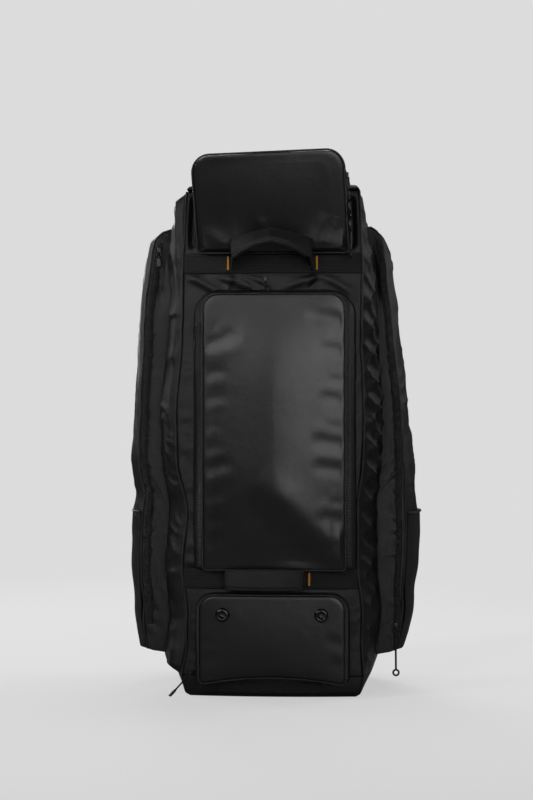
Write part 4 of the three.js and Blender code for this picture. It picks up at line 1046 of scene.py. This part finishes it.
def sleeve(side):
    share = sleeve_rows(200)
    z = SLEEVE_FOOT + share * SLEEVE_LENGTH
    inside = (FACING[side] * 150, 0, SLEEVE_FOOT + SLEEVE_LENGTH / 2)
    behind = (inside[0], 100, inside[2])
    seed = 71 if side == "left" else 83

    run = np.linspace(0, 1, 56)[None, :]
    stand = through(run, OUTSIDE["run"], OUTSIDE["stand"])
    y = run * SLEEVE_RUN
    slant = 62 if side == "right" else 75
    long = 9.5 if side == "right" else 6.5
    folds = creases(y, z, 190, 30, slant, seed) * long + creases(y, z, 120, 26, slant - 50, seed + 2) * 3
    folds = folds + 2.5 * noise(y / 50, z / 60, seed + 4) - (0.5 if side == "left" else 2.5)
    hold = np.clip(run * 9, 0.15, 1) * np.clip((1 - run) * 6, 0, 1) * within(share)
    outside = sleeve_points(side, share, run, stand, SETBACK, folds * hold)
    sheet_piece(f"sleeve_side_{side}", outside, nylon, "nylon", replaces=f"sleeve_outside_{side}",
                away_from=inside, thick=CLOTH)

    fine = sleeve_rows(420)
    face_z = SLEEVE_FOOT + fine * SLEEVE_LENGTH
    face_stand = np.linspace(-0.15, CORNER_STAND, 26)[None, :]
    face = sleeve_points(side, fine, 0 * face_stand, face_stand)
    by_zip = np.exp(-(((face_stand - ZIP_STAND) / 0.22) ** 2))
    gather = by_zip * ruffles(face_z, face_stand, seed) - mouth(fine, face_stand)
    gather = gather + creases(face_stand * 70, face_z, 160, 30, 70, seed=seed + 12) * 2.2
    ends = np.clip((face_stand + 0.1) * 8, 0, 1) * np.clip((CORNER_STAND - face_stand) * 8, 0, 1)
    face[..., 1] -= gather * ends * within(fine)
    sheet_piece(f"sleeve_face_{side}", face, nylon, "nylon", replaces=f"sleeve_front_{side}",
                away_from=behind, thick=THIN_CLOTH)

    full = np.linspace(0.0, 1.0, 180)
    corner = sleeve_points(side, full, np.zeros(180), np.full(180, CORNER_STAND))
    corner += np.array([FACING[side] * AWAY, -AWAY, 0])
    corner[:, 0] += 0.9 * noise(full * 40, 0 * full, seed)
    rope_piece(f"sleeve_edge_{side}", corner, PIPING, trim, "trim", replaces=f"sleeve_piping_{side}")

    zip_share = np.linspace(ZIP_FOOT, ZIP_TOP, 420)[:, None]
    track = sleeve_points(side, zip_share, 0 * zip_share, ZIP_STAND + 0 * zip_share)[:, 0]
    across = 1.3 * np.array([-4.5, -3.6, -2.4, -1.2, 0, 1.2, 2.4, 3.6, 4.5])
    coil = np.array([0.2, 0.8, 0.9, 1.2, 2.2, 1.2, 0.9, 0.8, 0.2])
    ruffle = ruffles(track[:, 2], ZIP_STAND, seed) - mouth(zip_share[:, 0], ZIP_STAND)
    wavy = across[None, :] * (1 + 0.2 * noise(track[:, 2] / 7, 0, seed)[:, None])
    strip = track[:, None] + stack(wavy, -(coil[None, :] + GAP + TAPE_PROUD + ruffle[:, None]), 0)
    sheet_piece(f"sleeve_zipper_{side}", strip, zip_tape, "zip", replaces=f"sleeve_zip_{side}",
                away_from=behind, thick=TAPE_THICK)


for side in FACING:
    sleeve(side)

# %% [markdown]
# An open net pocket follows the lower end of each sleeve a few millimetres out, with a bound hem along its
# mouth.

# %% Net pockets on the sleeves
HEM, NET_THICK = 2.5, 1.0


def net_pocket(side):
    share = np.linspace(0.002, NET_HEIGHT / SLEEVE_LENGTH, 70)[:, None]
    run = np.linspace(0, 0.87, 46)[None, :]
    stand = through(run, OUTSIDE["run"], OUTSIDE["stand"])
    z = SLEEVE_FOOT + share * SLEEVE_LENGTH
    sag = 3.2 + 2.2 * noise(run * 3, z / 60, 91) + 2.6 * creases(run * 190, z, 90, 30, 60, seed=93)
    net = sleeve_points(side, share, run, stand, SETBACK, sag)
    inside = (FACING[side] * 150, 0, 200)
    sheet_piece(f"pocket_net_{side}", net, netting, "netting", replaces=f"sleeve_net_{side}",
                away_from=inside, thick=NET_THICK)
    hem = net[-1] + np.array([FACING[side] * 0.6, 0, HEM])
    rope_piece(f"pocket_hem_{side}", hem, HEM, trim, "trim", across=(0, 0, 1), replaces=f"sleeve_hem_{side}")


for side in FACING:
    net_pocket(side)

# %% [markdown]
# Two padded shoulder straps are sewn to the back, with a webbing tail below each. The pad is quilted by a
# line of stitches along both of its edges.

# %% Shoulder straps
PAD_WIDTH, PAD_THICK, PAD_BOW, PAD_LENGTH, PAD_DROP, PAD_SPACING, PAD_SPREAD = 62, 10, 30, 560, 90, 140, 50
PAD_TOP = BODY_HEIGHT - PAD_DROP
TAIL_WIDTH, TAIL_LENGTH = 25, 210
for name, side in (("left", -1), ("right", 1)):
    share = np.linspace(0, 1, 90)
    x = side * (PAD_SPACING / 2 + PAD_SPREAD / 2 * share)
    pad_thick = PAD_THICK * np.clip(0.4 + 6 * np.minimum(share, 1 - share), 0, 1)
    out = GAP * 2 + pad_thick / 2 + PAD_BOW * np.sin(np.pi * share) ** 0.8
    path = on_back(x, PAD_TOP - PAD_LENGTH * share, out)
    grid = rings_along(path, PAD_WIDTH, pad_thick, (1, 0, 0), sides=64, square=0.6, groove=0.18)
    bm = bmesh.new()
    add_grid(bm, grid, ring=True, caps=True)
    piece(f"pad_{name}", bm, nylon, "nylon", replaces=f"shoulder_strap_{name}", fill=0.5)
    x = side * (PAD_SPACING + PAD_SPREAD) / 2
    foot = PAD_TOP - PAD_LENGTH - PAD_THICK
    columns = np.linspace(x - TAIL_WIDTH / 2, x + TAIL_WIDTH / 2, 5)
    rows = np.linspace(foot - TAIL_LENGTH, foot, 60)
    replaces = f"strap_tail_{name}"
    ribbon_piece(f"tail_{name}", on_back, columns, rows, GAP, WEB_THICK, webbing, "webbing", replaces)

# %% [markdown]
# Pressed eyelets let air into the shoe pocket. Each is a ring with a rolled flange, made by turning a short
# profile.

# %% Eyelets
def eyelet(side):
    low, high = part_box(f"eyelet_{side}")
    centre = (Vector(low) + Vector(high)) / 2
    front_y = low[1]
    inner = [(6.2, 7), (6.2, 1.2), (7.2, 0.1), (9.2, -0.4)]
    profile = inner + [(11.4, 0.3), (13.2, 1.8), (13.5, 3.0), (12.0, 3.2)]
    bm = bmesh.new()
    angle = np.linspace(0, 2 * np.pi, 41)
    grid = np.array([
        stack(centre.x / MM + r * np.cos(angle), front_y / MM + depth, centre.z / MM + r * np.sin(angle))
        for r, depth in profile
    ])
    add_grid(bm, grid, ring=True)
    behind = (centre.x / MM, centre.y / MM + 20, centre.z / MM)
    piece(f"ring_{side}", bm, metal, "metal", replaces=f"eyelet_{side}", away_from=behind)


for side in ("left", "right"):
    eyelet(side)

# %% [markdown]
# Zip pulls are small but they catch the light. Each has a bevelled slider, a ring, a stem and a tip. The
# place and the lean of each come from its CAD solid.

# %% Zip pulls
SLIDER, STEM = (8, 4, 12), (4.0, 3.0)
LOOP, END_LOOP = (4.2, 1.3), (5.6, 1.9)  # radius and wire


def add_ring(bm, centre, radius, wire, side, down):
    angle = np.linspace(0, 2 * np.pi, 21)[:, None]
    path = centre + radius * (np.cos(angle) * side + np.sin(angle) * down)
    add_grid(bm, rings_along(path, 2 * wire, 2 * wire, np.cross(side, down), sides=8, closed=True), ring=True)


def pull(name, normal, down, tip, length):
    verts = np.array([v.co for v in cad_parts[name].data.vertices]) / MM
    normal, down = np.array(normal, float), np.array(down, float)
    down = down / np.linalg.norm(down)
    reach = verts @ down
    start = verts[reach < reach.min() + 13].mean(0)
    end = verts[reach > reach.max() - 6].mean(0)
    down = (end - start) / np.linalg.norm(end - start)
    normal = normal - down * (normal @ down)
    normal /= np.linalg.norm(normal)
    side = np.cross(down, normal)
    bm = bmesh.new()
    slider = bmesh.ops.create_cube(bm, size=1)["verts"]
    turn = Matrix((side, normal, down)).transposed().to_4x4()
    size = Matrix.Diagonal((*(length * MM for length in SLIDER), 1))
    place = Matrix.Translation(Vector(start * MM)) @ turn @ size
    bmesh.ops.transform(bm, matrix=place, verts=slider)
    bmesh.ops.bevel(
        bm, geom=bm.edges[:], offset=1.2 * MM, segments=3, profile=0.5, affect="EDGES", material=-1,
    )
    place = start + normal * 2.2
    add_ring(bm, place + down * 8.5, *LOOP, side, down)
    stem = place + down * np.linspace(11.5, 11.5 + length, 8)[:, None]
    add_grid(bm, rings_along(stem, *STEM, side, sides=8), ring=True)
    if tip == "ring":
        add_ring(bm, stem[-1] + down * 5, *END_LOOP, side, down)
    else:
        flat = stem[-1] + down * np.linspace(0, 20, 10)[:, None]
        wide = 3.6 + 5.4 * np.clip(np.linspace(0, 3, 10), 0, 1)
        add_grid(bm, rings_along(flat, wide, 2.6, side, sides=12, square=0.7), ring=True)
    bmesh.ops.remove_doubles(bm, verts=bm.verts, dist=WELD)
    bmesh.ops.holes_fill(bm, edges=[e for e in bm.edges if e.is_boundary], sides=0)
    return piece(f"puller_{name[5:]}", bm, pull_metal, "metal", replaces=name)


FRONTWARD, LEFTWARD, RIGHTWARD, UPWARD, DOWNWARD = (0, -1, 0), (-1, 0, 0), (1, 0, 0), (0, 0, 1), (0, 0, -1)
pull("pull_helmet_top", RIGHTWARD, DOWNWARD, "tab", 16)
pull("pull_helmet_side", RIGHTWARD, DOWNWARD, "ring", 3)
pull("pull_helmet_foot", RIGHTWARD, DOWNWARD, "ring", 44)
pull("pull_yoke", FRONTWARD, DOWNWARD, "ring", 2)
pull("pull_centre_side", LEFTWARD, DOWNWARD, "tab", 16)
pull("pull_centre_top", UPWARD, LEFTWARD, "tab", 16)
pull("pull_shoe_side", (-0.5, -0.45, 0.74), (-0.6, -0.55, -0.58), "tab", 36)
pull("pull_sleeve_left", FRONTWARD, DOWNWARD, "tab", 3)
pull("pull_sleeve_right", FRONTWARD, DOWNWARD, "ring", 76)
